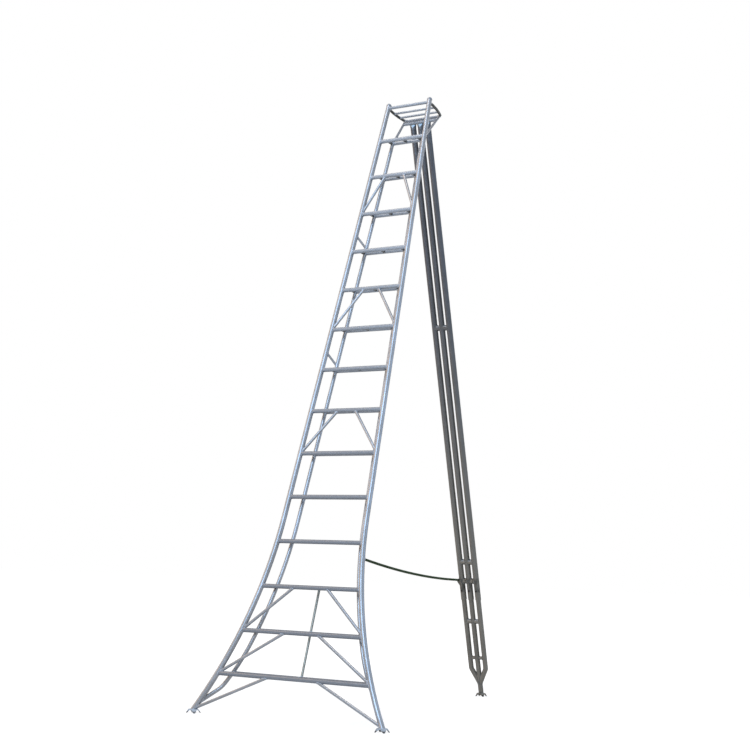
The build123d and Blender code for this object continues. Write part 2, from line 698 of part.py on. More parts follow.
# Rope: straight runs joined by arcs as large as the runs allow
route = [rope_start, *[Vector(point) for point in ROPE_POINTS], knot_mouth - lug_way * KNOT_GAP]
runs = [after - before for before, after in zip(route, route[1:])]
radii = []
for before, after in zip(runs, runs[1:]):
    turn = radians(before.get_angle(after))
    radii.append(0.45 * min(before.length, after.length) / tan(turn / 2))
with BuildLine() as rope_line:
    FilletPolyline(*route, radius=radii)
rope = bent_tube(rope_line.line, ROPE_OUTER, None)
save(rope, "rope")
rope_length = sum(edge.length for edge in rope_line.edges())
print("rope radii", [round(radius) for radius in radii], "length", round(rope_length))
print("rope volume over section times length", round(rope.volume / (pi * ROPE_OUTER**2 / 4 * rope_length), 4))
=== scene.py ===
import bmesh
import bpy
import json
import math
from mathutils import Matrix, Vector


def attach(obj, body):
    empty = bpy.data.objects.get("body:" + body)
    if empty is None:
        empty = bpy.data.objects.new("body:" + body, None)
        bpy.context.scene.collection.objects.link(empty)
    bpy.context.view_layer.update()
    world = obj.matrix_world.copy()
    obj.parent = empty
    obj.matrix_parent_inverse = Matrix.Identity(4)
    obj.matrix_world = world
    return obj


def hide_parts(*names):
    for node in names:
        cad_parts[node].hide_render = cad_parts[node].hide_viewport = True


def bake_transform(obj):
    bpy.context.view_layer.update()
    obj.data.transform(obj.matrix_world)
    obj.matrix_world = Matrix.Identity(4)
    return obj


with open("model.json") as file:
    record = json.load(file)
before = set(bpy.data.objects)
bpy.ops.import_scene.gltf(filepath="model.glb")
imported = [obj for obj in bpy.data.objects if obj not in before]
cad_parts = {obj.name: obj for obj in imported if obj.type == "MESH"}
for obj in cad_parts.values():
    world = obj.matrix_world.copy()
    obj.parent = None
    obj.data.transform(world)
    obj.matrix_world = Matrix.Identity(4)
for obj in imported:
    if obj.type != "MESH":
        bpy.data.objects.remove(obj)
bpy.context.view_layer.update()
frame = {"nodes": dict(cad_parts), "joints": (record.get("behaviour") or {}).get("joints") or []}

# Tripod orchard ladder in welded aluminium tube: metres, X across the treads, Y towards the leg, Z up

# Sizes of the frame, as its solids have them
LEAN = math.radians(16.5)
SPREAD = 2.724
FOOT_HALF = 0.687
FOOT_HEIGHT = 0.024
STILE_RADIUS = 0.0175
STILE_LENGTH = 4.543
STILE_TAPER = math.radians(2.57)
FOOT_SPLAY = math.radians(30)
FLARE_RADIUS = 2.815
TREAD_COUNT = 14
TREAD_FIRST = 0.268
TREAD_PITCH = 0.305
TREAD_DEPTH = 0.079
TREAD_RADIUS = 0.014
REAR_RADIUS = 0.012
LINK_RADIUS = 0.009
RAIL_RADIUS = 0.013
RAIL_INSET = 0.061
RAIL_TURN = 0.450
RAIL_TURN_RADIUS = 1.2
RAIL_FLARE_END = 0.195
RAIL_LEAD = 0.036
RAIL_FOOT = 0.042
BRACE_RADIUS = 0.0095
BRACE_STARTS = {13: 0.074, 10: 0.056, 7: 0.066, 3: 0.121, 2: 0.119, 1: 0.173}
BRACE_FOOT_LIFT = 0.004
SIDE_STRUT_TREADS = (8, 11)
SIDE_STRUT_RADIUS = 0.008
SIDE_STRUT_HIGH = 0.136
SIDE_STRUT_LOW = 0.062
CENTRE_ROD_TREADS = (2, 3)
CENTRE_ROD_RADIUS = 0.008
CENTRE_ROD_X = 0.018
TOP_BAR_RADIUS = 0.011
TOP_BAR_DROP = 0.018
CRADLE_RADIUS = 0.010
CRADLE_DEPTH = 0.225
CRADLE_REAR_HALF = 0.149
CRADLE_TILT = math.radians(8.2)
CRADLE_BEND_RADIUS = 0.026
CRADLE_BOW = 0.012
CRADLE_BOW_RADIUS = 0.600
CRADLE_BAR_RADIUS = 0.008
CRADLE_BAR_PLACES = (0.090, 0.160)
STRUT_RADIUS = 0.009
HINGE_ROD_RADIUS = 0.008
LEG_PITCH = 0.061
LEG_RADIUS = 0.022
UPPER_SPACERS = (1.535, 3.345, 3.495)
SPACER_RADIUS = 0.021
LOWER_RADIUS = 0.019
LOWER_BEND = 0.198
LOWER_MERGE = 0.080
LOWER_SPACERS = {0.575: 0.018, 0.284: 0.013}
BARREL_SEAM = (0.0088, 0.0081)
BARREL_SEAM_HALF = 0.022
LUG_HALF_THICK = 0.003
LUG_PLACE = 3.495
LUG_BACK = 0.015
LUG_HORN = 0.004
LUG_DROP = 0.057
LUG_SLOT_X = 0.0955
EYE_RISE = 1.037
EYE_OFFSET = 0.0255
EYE_SEAM_HALF = 0.019

# Rope: its line repeats the route of the solid
ROPE_RADIUS = 0.008
ROPE_LAY = 0.054
KNOT_RADIUS = 0.014
KNOT_SEAT = 0.0001
ROPE_ROUTE = [
    (0.3000, -1.0009, 0.9974),
    (0.2615, -0.7945, 0.9770),
    (0.2200, -0.5725, 0.9575),
    (0.1805, -0.3615, 0.9410),
    (0.1410, -0.1505, 0.9265),
    (0.1015, 0.0605, 0.9145),
    (0.0620, 0.2715, 0.9040),
    (0.0230, 0.4825, 0.8960),
    (-0.0165, 0.6935, 0.8900),
    (-0.0580, 0.9150, 0.8865),
    (-0.0967, 1.1222, 0.8846),
]

# Directions and places on the ladder's face and on the leg
ACROSS = Vector((1, 0, 0))
SLOPE = Vector((0, math.sin(LEAN), math.cos(LEAN)))
BEHIND = Vector((0, math.cos(LEAN), -math.sin(LEAN)))
FOOT_LINE = Vector((0, -SPREAD / 2, FOOT_HEIGHT))
RAIL_BACK = TREAD_DEPTH * math.cos(LEAN)
RAIL_STEP = TREAD_DEPTH * math.sin(LEAN)
FLARE_RISE = FLARE_RADIUS * (math.sin(FOOT_SPLAY) - math.sin(STILE_TAPER))
FLARE_HALF = FOOT_HALF - FLARE_RADIUS * (math.cos(STILE_TAPER) - math.cos(FOOT_SPLAY))
FLARE_ARC = FLARE_RADIUS * (FOOT_SPLAY - STILE_TAPER)
HINGE = Vector(frame["joints"][0]["pos_m"])
LEG_FOOT = Vector((0, SPREAD / 2, FOOT_HEIGHT))
LEG_WAY = (LEG_FOOT - HINGE).normalized()
LEG_LENGTH = (LEG_FOOT - HINGE).length
LEG_REAR = ACROSS.cross(LEG_WAY)


def face(x, rise, back=0.0):
    """Point x across, rise up the ladder's face and back behind it."""
    return FOOT_LINE + ACROSS * x + SLOPE * rise + BEHIND * back


def rise_along(length):
    """Rise up the face after a length along the stile from its foot."""
    if length < FLARE_ARC:
        return FLARE_RADIUS * (math.sin(FOOT_SPLAY) - math.sin(FOOT_SPLAY - length / FLARE_RADIUS))
    return FLARE_RISE + (length - FLARE_ARC) * math.cos(STILE_TAPER)


def splay_at(rise):
    """Angle at which the stile spreads towards its foot, at a rise up the face."""
    if rise < FLARE_RISE:
        return math.asin(math.sin(FOOT_SPLAY) - rise / FLARE_RADIUS)
    return STILE_TAPER


def half_width(rise):
    """Middle of the ladder to the stile's centre line."""
    if rise < FLARE_RISE:
        return FOOT_HALF - FLARE_RADIUS * (math.cos(splay_at(rise)) - math.cos(FOOT_SPLAY))
    return FLARE_HALF - (rise - FLARE_RISE) * math.tan(STILE_TAPER)


def rail_splay_at(rise):
    """Angle at which the rear rail spreads towards its foot, at a rise up its face."""
    if rise < RAIL_TURN:
        return math.asin(math.sin(splay_at(RAIL_TURN)) + (RAIL_TURN - rise) / RAIL_TURN_RADIUS)
    return splay_at(rise)


def rail_half(rise):
    """Middle of the ladder to the rear rail's centre line."""
    if rise < RAIL_TURN:
        turned = RAIL_TURN_RADIUS * (math.cos(splay_at(RAIL_TURN)) - math.cos(rail_splay_at(rise)))
        return half_width(RAIL_TURN) - RAIL_INSET + turned
    return half_width(rise) - RAIL_INSET


def upwards(splay):
    """Direction up a tube on the right of the ladder that spreads towards its foot by an angle."""
    return SLOPE * math.cos(splay) - ACROSS * math.sin(splay)


def stile_way(rise):
    return upwards(splay_at(rise))


def rail_way(rise):
    return upwards(rail_splay_at(rise))


def tread_rise(tread):
    """Rise of a tread's front bar, counted from the ground."""
    return rise_along(TREAD_FIRST + (tread - 1) * TREAD_PITCH)


def on_leg(x, down, back=0.0):
    """Point x across, down the leg from the hinge and back behind its middle."""
    return HINGE + ACROSS * x + LEG_WAY * down + LEG_REAR * back


def other_side(points):
    """The same points on the left of the ladder."""
    return [Vector((-p.x, p.y, p.z)) for p in points]


# Pieces made of points and faces
def piece(name, points, faces, finish, uv=None):
    """Closed mesh with its normals outwards, smooth, in one finish."""
    mesh = bpy.data.meshes.new(name)
    mesh.from_pydata([tuple(p) for p in points], [], faces)
    if uv:
        layer = mesh.uv_layers.new(name="along_the_strand")
        for corner in mesh.loops:
            layer.data[corner.index].uv = uv[corner.vertex_index]
    shell = bmesh.new()
    shell.from_mesh(mesh)
    bmesh.ops.recalc_face_normals(shell, faces=shell.faces)
    shell.to_mesh(mesh)
    shell.free()
    mesh.shade_smooth()
    mesh.materials.append(finish)
    made = bpy.data.objects.new(name, mesh)
    bpy.context.scene.collection.objects.link(made)
    return made


def directions(line, closed=False):
    """Unit direction of a line at each of its points."""
    ways = []
    for i in range(len(line)):
        before = line[i - 1] if closed or i else line[0]
        after = line[(i + 1) % len(line)] if closed or i < len(line) - 1 else line[-1]
        ways.append((after - before).normalized())
    return ways


def carried_frames(line, closed=False):
    """Direction and two square sides at each point, carried along without twist."""
    ways = directions(line, closed)
    side = ways[0].orthogonal().normalized()
    found = []
    for way in ways:
        side = (side - way * side.dot(way)).normalized()
        found.append((way, side, way.cross(side)))
    return found


def round_tube(line, radius, sides, closed=False):
    """Points, faces and strand coordinates of a round tube along a line."""
    points, faces, uv = [], [], []
    run = 0.0
    for i, (way, side, up) in enumerate(carried_frames(line, closed)):
        run += (line[i] - line[i - 1]).length if i else 0.0
        for j in range(sides):
            turn = math.tau * j / sides
            points.append(line[i] + (side * math.cos(turn) + up * math.sin(turn)) * radius)
            uv.append((run, 2 * min(j, sides - j) / sides))
    rings = len(line)
    for i in range(rings if closed else rings - 1):
        after = (i + 1) % rings
        for j in range(sides):
            beside = (j + 1) % sides
            faces.append((i * sides + j, i * sides + beside, after * sides + beside, after * sides + j))
    if not closed:
        faces.append(tuple(range(sides)))
        faces.append(tuple(range((rings - 1) * sides, rings * sides)))
    return points, faces, uv


def joined(shapes):
    """Several shapes of points, faces and strand coordinates as one."""
    points, faces, uv = [], [], []
    for more, their_faces, their_uv in shapes:
        start = len(points)
        points += more
        faces += [tuple(start + i for i in f) for f in their_faces]
        uv += their_uv
    return points, faces, uv


def smooth_line(controls, steps):
    """Points along a NURBS line through the route's control points."""
    data = bpy.data.curves.new("route", "CURVE")
    data.dimensions = "3D"
    data.resolution_u = steps
    spline = data.splines.new("NURBS")
    spline.points.add(len(controls) - 1)
    for place, control in zip(spline.points, controls):
        place.co = (*control, 1)
    spline.order_u = 3
    spline.use_endpoint_u = True
    holder = bpy.data.objects.new("route", data)
    bpy.context.scene.collection.objects.link(holder)
    mesh = bpy.data.meshes.new_from_object(holder)
    line = [v.co.copy() for v in mesh.vertices]
    bpy.data.objects.remove(holder)
    bpy.data.meshes.remove(mesh)
    bpy.data.curves.remove(data)
    return line


# Camera at the photograph's place
CAMERA_AT = (4.7018, -8.3742, 0.9089)
CAMERA_YAW = math.radians(30.631)
CAMERA_PITCH = math.radians(8.315)
CAMERA_ROLL = math.radians(2.144)
CAMERA_LENS = 65.2
CAMERA_SENSOR = 36
CAMERA_REACH = 500


def place_camera():
    right = Vector((math.cos(CAMERA_YAW), math.sin(CAMERA_YAW), 0))
    level = Vector((-math.sin(CAMERA_YAW), math.cos(CAMERA_YAW), 0))
    upright = Vector((0, 0, 1))
    forward = level * math.cos(CAMERA_PITCH) + upright * math.sin(CAMERA_PITCH)
    above = upright * math.cos(CAMERA_PITCH) - level * math.sin(CAMERA_PITCH)
    x_axis = right * math.cos(CAMERA_ROLL) + above * math.sin(CAMERA_ROLL)
    y_axis = above * math.cos(CAMERA_ROLL) - right * math.sin(CAMERA_ROLL)
    data = bpy.data.cameras.new("photograph_view")
    data.sensor_width = CAMERA_SENSOR
    data.lens = CAMERA_LENS
    data.clip_end = CAMERA_REACH
    camera = bpy.data.objects.new("photograph_view", data)
    turned = Matrix((x_axis, y_axis, -forward)).transposed().to_4x4()
    camera.matrix_world = Matrix.Translation(CAMERA_AT) @ turned
    bpy.context.scene.collection.objects.link(camera)
    bpy.context.scene.camera = camera


# Colours of the finishes
LADDER_CLEAN = (0.360, 0.371, 0.397, 1)
LADDER_DULL = (0.296, 0.300, 0.311, 1)
TREAD_CLEAN = (0.358, 0.391, 0.440, 1)
TREAD_DULL = (0.297, 0.319, 0.350, 1)
# Lower treads blend towards this darker colour: partly trodden wear, partly painted shade, with the upper
# treads standing in brighter light.
TROD_AND_SHADE = (0.216, 0.229, 0.255, 1)
ROD_CLEAN = (0.312, 0.314, 0.282, 1)
ROD_DULL = (0.238, 0.238, 0.212, 1)
# Painted shade: the tread links and the cradle's sides get this darker, browner aluminium, standing in for
# the shade they sit in under the treads.
SHADE_PAINTED_CLEAN = (0.182, 0.178, 0.163, 1)
SHADE_PAINTED_DULL = (0.116, 0.113, 0.103, 1)
# Painted shade: the leg is the ladder's aluminium made dark, because its front faces the ground and stands in
# shade; the lower leg and the leg's welds are darkened too.
LEG_CLEAN = (0.136, 0.136, 0.144, 1)
LEG_DULL = (0.113, 0.113, 0.118, 1)
# Paler and warmer near the ground, on the upper leg's lower part and on the whole lower leg: partly dust,
# partly painted light.
LEG_DUST_AND_LIGHT = (0.243, 0.223, 0.190, 1)
FOOT_LEG_CLEAN = (0.243, 0.223, 0.193, 1)
FOOT_LEG_DULL = (0.204, 0.188, 0.162, 1)
# Painted highlight on the tops of the leg's spacer stubs, pale and bluish like the sky's reflection.
STUB_TOP_HIGHLIGHT = (0.292, 0.319, 0.346, 1)
# Painted highlight on the pressed tops of the leg tubes, pale and bluish like the sky's reflection.
PRESSED_TOP_HIGHLIGHT = (0.403, 0.515, 0.605, 1)
# Foot plates: pale metal, made brighter and bluer than the tubes as a painted reflection of the sky.
PLATE_CLEAN = (0.50, 0.57, 0.66, 1)
PLATE_DULL = (0.36, 0.41, 0.47, 1)
SOIL = (0.060, 0.052, 0.044, 1)
# Dark streaks on the upper leg above its lower end.
DARK_STREAK = (0.070, 0.068, 0.060, 1)
EDGE_TINT = (0.54, 0.53, 0.53, 1)
CAP_DARK = (0.28, 0.27, 0.27, 1)
CAP_LIGHT = (0.38, 0.36, 0.36, 1)
CAP_SCUFF = (0.52, 0.50, 0.50, 1)
STEEL_BLACK = (0.012, 0.012, 0.013, 1)
STEEL_GREY = (0.035, 0.034, 0.034, 1)
RUST = (0.075, 0.034, 0.016, 1)
LADDER_WELD_BRIGHT = (0.50, 0.55, 0.63, 1)
LADDER_WELD_GREY = (0.36, 0.39, 0.44, 1)
# Leg welds: painted shade, darkened like the leg tubes.
LEG_WELD_BRIGHT = (0.19, 0.195, 0.195, 1)
LEG_WELD_GREY = (0.125, 0.125, 0.12, 1)
ROPE_DEEP = (0.022, 0.045, 0.011, 1)
ROPE_WORN = (0.054, 0.098, 0.028, 1)
ROPE_DUSTY = (0.068, 0.095, 0.043, 1)
FLOOR_GREY = (0.4, 0.4, 0.4, 1)

# Marks and painted light on the aluminium: pattern scales, then places in metres
CLOUD_SCALE = 6.0
SCUFF_SCALE = 38.0
PIT_SCALE = 420.0
PLAIN_GRAIN_SCALE = 700.0
CLOUD_SHARE = 0.75
DRAWN_WIDTH = 0.0012
DRAWN_LENGTH = 0.45
DUST_AND_LIGHT_HEIGHTS = (0.7, 3.4)
SOIL_HEIGHTS = (0.004, 0.019)
BRIGHT_REAR_HALF = (0.118, 0.140)
PRESSED_END = (0.030, 0.042)
PRESSED_SLANT = 1.2
DARK_STREAK_BEGINS = (3.460, 3.480)
DARK_STREAK_ENDS = (3.567, 3.587)
STUB_HIGHLIGHT_BEGINS = (0.022, 0.018)
STUB_HIGHLIGHT_ENDS = (0.014, 0.006)
STREAK_WIDTH = 0.014
STREAK_LENGTH = 0.05

# Fibres of the rope, along and across a strand
FIBRE_STRETCH = (90.0, 9.0, 1.0)
FIBRE_SLANT = 0.5


def shade(colour, amount):
    """A colour made lighter or darker."""
    return [min(amount * c, 1) for c in colour[:3]] + [1]


class Finish:
    """A node material, with short ways to add its parts."""

    def __init__(self, name, metallic=0.0, specular=0.5, sheen=0.0, edge=(1, 1, 1, 1)):
        self.material = bpy.data.materials.new(name)
        self.material.use_nodes = True
        self.nodes = self.material.node_tree.nodes
        self.links = self.material.node_tree.links
        self.shader = self.nodes["Principled BSDF"]
        self.shader.inputs["Metallic"].default_value = metallic
        self.shader.inputs["Specular IOR Level"].default_value = specular
        self.shader.inputs["Specular Tint"].default_value = edge
        self.shader.inputs["Sheen Weight"].default_value = sheen
        self.place = self.nodes.new("ShaderNodeTexCoord").outputs["Object"]

    def feed(self, socket, value):
        if isinstance(value, bpy.types.NodeSocket):
            self.links.new(value, socket)
        else:
            socket.default_value = value

    def stretched(self, way, across, along):
        """Object coordinates turned so that a pattern runs along a direction."""
        node = self.nodes.new("ShaderNodeMapping")
        node.vector_type = "TEXTURE"
        node.inputs["Rotation"].default_value = way.to_track_quat("X", "Z").to_euler()
        node.inputs["Scale"].default_value = (along, across, across)
        self.links.new(self.place, node.inputs["Vector"])
        return node.outputs["Vector"]

    def noise(self, scale, detail=3.0, rough=0.5, vector=None):
        node = self.nodes.new("ShaderNodeTexNoise")
        self.links.new(vector or self.place, node.inputs["Vector"])
        node.inputs["Scale"].default_value = scale
        node.inputs["Detail"].default_value = detail
        node.inputs["Roughness"].default_value = rough
        return node.outputs[0]

    def between(self, value, low, high, to_low=0.0, to_high=1.0):
        node = self.nodes.new("ShaderNodeMapRange")
        node.interpolation_type = "SMOOTHSTEP"
        self.links.new(value, node.inputs["Value"])
        for name, number in zip(("From Min", "From Max", "To Min", "To Max"), (low, high, to_low, to_high)):
            node.inputs[name].default_value = number
        return node.outputs[0]

    def maths(self, kind, a, b):
        node = self.nodes.new("ShaderNodeMath")
        node.operation = kind
        self.feed(node.inputs[0], a)
        self.feed(node.inputs[1], b)
        return node.outputs[0]

    def blend(self, amount, a, b):
        node = self.nodes.new("ShaderNodeMix")
        node.data_type = "RGBA"
        self.feed(node.inputs[0], amount)
        self.feed(node.inputs[6], a)
        self.feed(node.inputs[7], b)
        return node.outputs[2]

    def part_of_place(self, axis):
        node = self.nodes.new("ShaderNodeSeparateXYZ")
        self.links.new(self.place, node.inputs[0])
        return node.outputs[axis]

    def along(self, start, way):
        """Distance along a direction from a point."""
        node = self.nodes.new("ShaderNodeVectorMath")
        node.operation = "DOT_PRODUCT"
        self.links.new(self.place, node.inputs[0])
        node.inputs[1].default_value = way
        return self.maths("SUBTRACT", node.outputs["Value"], start.dot(way))

    def beside_stiles(self, across, along):
        """Coordinates that follow the flared stiles: off their line, behind the face and up it."""
        rise = self.along(FOOT_LINE, SLOPE)
        over = self.maths("MAXIMUM", self.maths("SUBTRACT", rise, FLARE_RISE), 0.0)
        level = self.maths("ABSOLUTE", self.part_of_place("X"), 0.0)
        level = self.maths("ADD", level, self.maths("MULTIPLY", over, math.tan(STILE_TAPER)))
        gap = self.maths("SUBTRACT", FOOT_HALF + FLARE_RADIUS * math.cos(FOOT_SPLAY), level)
        flared = self.maths("MINIMUM", rise, FLARE_RISE)
        low = self.maths("SUBTRACT", FLARE_RADIUS * math.sin(FOOT_SPLAY), flared)
        squares = self.maths("ADD", self.maths("POWER", gap, 2.0), self.maths("POWER", low, 2.0))
        off = self.maths("SQRT", squares, 0.0)
        behind = self.along(FOOT_LINE, BEHIND)
        place = self.nodes.new("ShaderNodeCombineXYZ")
        for socket, value, size in zip(place.inputs, (off, behind, rise), (across, across, along)):
            self.links.new(self.maths("DIVIDE", value, size), socket)
        return place.outputs[0]

    def bump(self, value, depth, strength):
        node = self.nodes.new("ShaderNodeBump")
        node.inputs["Distance"].default_value = depth
        node.inputs["Strength"].default_value = strength
        self.links.new(value, node.inputs["Height"])
        self.links.new(node.outputs[0], self.shader.inputs["Normal"])

    def end(self, colour, roughness):
        self.feed(self.shader.inputs["Base Color"], colour)
        self.feed(self.shader.inputs["Roughness"], roughness)
        return self.material


def painted_highlight_on_pressed_tops(finish, down, colour):
    """Painted highlight where the leg tubes are pressed flat: a pale bluish patch standing in for the sky's
    reflection on the flats.
    """
    aside = finish.maths("PINGPONG", finish.part_of_place("X"), LEG_PITCH / 2)
    pressed = finish.maths("ADD", down, finish.maths("MULTIPLY", aside, PRESSED_SLANT))
    return finish.blend(finish.between(pressed, *PRESSED_END, 1.0, 0.0), colour, PRESSED_TOP_HIGHLIGHT)


def dark_streaks_on_leg(finish, down, colour):
    """Dark streaks in a band above the lower end of the upper leg."""
    begins = finish.between(down, *DARK_STREAK_BEGINS)
    ends = finish.between(down, *DARK_STREAK_ENDS, 1.0, 0.0)
    lengthwise = finish.stretched(LEG_WAY, STREAK_WIDTH, STREAK_LENGTH)
    streaks = finish.noise(1.0, detail=3.0, rough=0.6, vector=lengthwise)
    band = finish.maths("MULTIPLY", begins, ends)
    amount = finish.maths("MULTIPLY", band, finish.between(streaks, 0.42, 0.62, 0.1, 0.8))
    return finish.blend(amount, colour, DARK_STREAK)


def painted_highlight_on_stub_top(finish, down, colour, place):
    """Painted highlight on the upper side of the spacer stubs at a place down the leg, standing in for the
    sky's reflection.
    """
    begins = finish.between(down, *(place - above for above in STUB_HIGHLIGHT_BEGINS))
    ends = finish.between(down, *(place - above for above in STUB_HIGHLIGHT_ENDS), 0.9, 0.0)
    return finish.blend(finish.maths("MULTIPLY", begins, ends), colour, STUB_TOP_HIGHLIGHT)


def aluminium(
    name, clean, dull, smooth, metallic,
    way=None, flared=False, blended_tone=None, rear=None, pressed_tops_and_streaks=False, tops=(),
):
    """Aluminium tube: a cloudy oxide film, pits and scuffs, with drawing lines along the tube where its
    direction is known; where asked, a colour change with height that is partly painted light, painted
    highlights on the leg's pressed tops and stub tops, dark streaks, and a rear run in another colour.
    """
    finish = Finish(name, metallic=metallic, specular=0.1, edge=EDGE_TINT)
    height = finish.part_of_place("Z")
    clouds = finish.noise(CLOUD_SCALE, detail=5.0, rough=0.6)
    pits = finish.noise(PIT_SCALE, detail=2.0, rough=0.6)
    drawn = None
    if way:
        drawn = finish.stretched(way, DRAWN_WIDTH, DRAWN_LENGTH)
    elif flared:
        drawn = finish.beside_stiles(DRAWN_WIDTH, DRAWN_LENGTH)
    if drawn:
        fine = finish.noise(1.0, detail=4.0, rough=0.6, vector=drawn)
    else:
        fine = finish.noise(PLAIN_GRAIN_SCALE, detail=3.0, rough=0.6)
    scuffs = finish.between(finish.noise(SCUFF_SCALE, detail=6.0, rough=0.72), 0.60, 0.72)
    cloudy = finish.maths("MULTIPLY", clouds, CLOUD_SHARE)
    mixed = finish.maths("ADD", cloudy, finish.maths("MULTIPLY", fine, 1 - CLOUD_SHARE))
    film = finish.between(mixed, 0.36, 0.64)
    colour = finish.blend(film, clean, dull)
    # Colour changes with height: lower down it blends towards a second colour, darker on the treads and paler
    # on the leg; partly wear and dust, partly painted light and shade.
    if blended_tone:
        colour = finish.blend(finish.between(height, *DUST_AND_LIGHT_HEIGHTS, 0.9, 0.0), colour, blended_tone)
    if pressed_tops_and_streaks or tops:
        down = finish.along(HINGE, LEG_WAY)
    # Upper leg: painted highlight on the pressed tops, and dark streaks above its lower end.
    if pressed_tops_and_streaks:
        colour = painted_highlight_on_pressed_tops(finish, down, colour)
        colour = dark_streaks_on_leg(finish, down, colour)
    # Painted highlight on the stub tops at the given places down the leg.
    for place in tops:
        colour = painted_highlight_on_stub_top(finish, down, colour, place)
    colour = finish.blend(finish.between(fine, 0.45, 0.80, 0.0, 0.25), colour, shade(dull, 0.80))
    colour = finish.blend(finish.maths("MULTIPLY", scuffs, 0.22), colour, shade(clean, 1.2))
    # Cradle: the rear run gets the plain ladder colour; the sides keep their painted shade.
    if rear:
        level = finish.maths("ABSOLUTE", finish.part_of_place("X"), 0.0)
        bright = finish.blend(film, rear, shade(rear, 0.85))
        colour = finish.blend(finish.between(level, *BRIGHT_REAR_HALF, 1.0, 0.0), colour, bright)
    low = finish.between(height, *SOIL_HEIGHTS, 1.0, 0.0)
    soiled = finish.maths("MULTIPLY", low, finish.between(clouds, 0.3, 0.6, 0.75, 1.0))
    colour = finish.blend(soiled, colour, SOIL)
    filmed = finish.between(film, 0.0, 1.0, smooth, smooth + 0.10)
    rough = finish.maths("ADD", filmed, finish.between(fine, 0.3, 0.7, -0.03, 0.03))
    rough = finish.maths("ADD", rough, finish.maths("MULTIPLY", soiled, 0.25))
    finish.bump(finish.maths("ADD", fine, finish.maths("MULTIPLY", pits, 0.5)), depth=0.0001, strength=0.12)
    return finish.end(colour, rough)


def moulded_cap():
    """Grey plastic with a fine moulded grain and pale scuffs."""
    finish = Finish("moulded_grey_cap", specular=0.4)
    grain = finish.noise(900.0, detail=2.0, rough=0.5)
    clouds = finish.noise(60.0, detail=4.0, rough=0.6)
    scuffs = finish.between(finish.noise(240.0, detail=6.0, rough=0.75), 0.60, 0.70)
    colour = finish.blend(clouds, CAP_DARK, CAP_LIGHT)
    colour = finish.blend(finish.maths("MULTIPLY", scuffs, 0.5), colour, CAP_SCUFF)
    finish.bump(grain, depth=0.0002, strength=0.4)
    return finish.end(colour, finish.between(clouds, 0.3, 0.7, 0.42, 0.58))


def blackened_steel():
    """Oil-blackened bolt steel with a little rust."""
    finish = Finish("blackened_steel", metallic=0.6)
    specks = finish.noise(700.0, detail=4.0, rough=0.6)
    rust = finish.between(finish.noise(260.0, detail=5.0, rough=0.65), 0.56, 0.70)
    colour = finish.blend(specks, STEEL_BLACK, STEEL_GREY)
    colour = finish.blend(finish.maths("MULTIPLY", rust, 0.6), colour, RUST)
    finish.bump(specks, depth=0.0002, strength=0.4)
    return finish.end(colour, finish.between(rust, 0.0, 1.0, 0.38, 0.75))


def weld_metal(name, bright, grey):
    """Frosted weld metal, bright and grey in patches."""
    finish = Finish(name, metallic=0.6)
    frost = finish.noise(900.0, detail=4.0, rough=0.6)
    patches = finish.noise(120.0, detail=3.0, rough=0.6)
    colour = finish.blend(finish.between(patches, 0.35, 0.65), bright, grey)
    finish.bump(frost, depth=0.0003, strength=0.5)
    return finish.end(colour, finish.between(frost, 0.3, 0.7, 0.34, 0.52))


def rope_yarn(name, deep, worn, blended_tone):
    """Dark laid yarn: fine fibres along each strand, paler where it rubs."""
    finish = Finish(name, specular=0.2, sheen=0.1)
    node = finish.nodes.new("ShaderNodeUVMap")
    node.uv_map = "along_the_strand"
    turned = finish.nodes.new("ShaderNodeMapping")
    turned.inputs["Scale"].default_value = FIBRE_STRETCH
    turned.inputs["Rotation"].default_value = (0.0, 0.0, FIBRE_SLANT)
    finish.links.new(node.outputs[0], turned.inputs["Vector"])
    fibres = finish.noise(1.6, detail=5.0, rough=0.65, vector=turned.outputs[0])
    patches = finish.noise(14.0, detail=4.0, rough=0.6)
    colour = finish.blend(finish.between(fibres, 0.38, 0.66), deep, worn)
    colour = finish.blend(finish.between(patches, 0.50, 0.72, 0.0, 0.55), colour, blended_tone)
    finish.bump(fibres, depth=0.0006, strength=0.7)
    return finish.end(colour, finish.between(fibres, 0.3, 0.7, 0.68, 0.9))


# The finishes of this ladder
across_tube = aluminium(
    "ladder_tube_across", TREAD_CLEAN, TREAD_DULL, smooth=0.28, metallic=0.60, way=ACROSS, blended_tone=TROD_AND_SHADE
)
upright_tube = aluminium(
    "ladder_tube_upright", LADDER_CLEAN, LADDER_DULL, smooth=0.22, metallic=0.62, flared=True
)
brace_tube = aluminium("ladder_tube_brace", LADDER_CLEAN, LADDER_DULL, smooth=0.22, metallic=0.62)
rod_tube = aluminium("ladder_rod", ROD_CLEAN, ROD_DULL, smooth=0.30, metallic=0.60, way=SLOPE)
# Tread links and cradle sides: painted shade, a darker copy of the ladder's aluminium.
link_tube = aluminium(
    "ladder_tube_backward", SHADE_PAINTED_CLEAN, SHADE_PAINTED_DULL, smooth=0.40, metallic=0.32, way=BEHIND
)
cradle_tube = aluminium(
    "ladder_tube_cradle", SHADE_PAINTED_CLEAN, SHADE_PAINTED_DULL, smooth=0.36, metallic=0.32, rear=LADDER_CLEAN
)
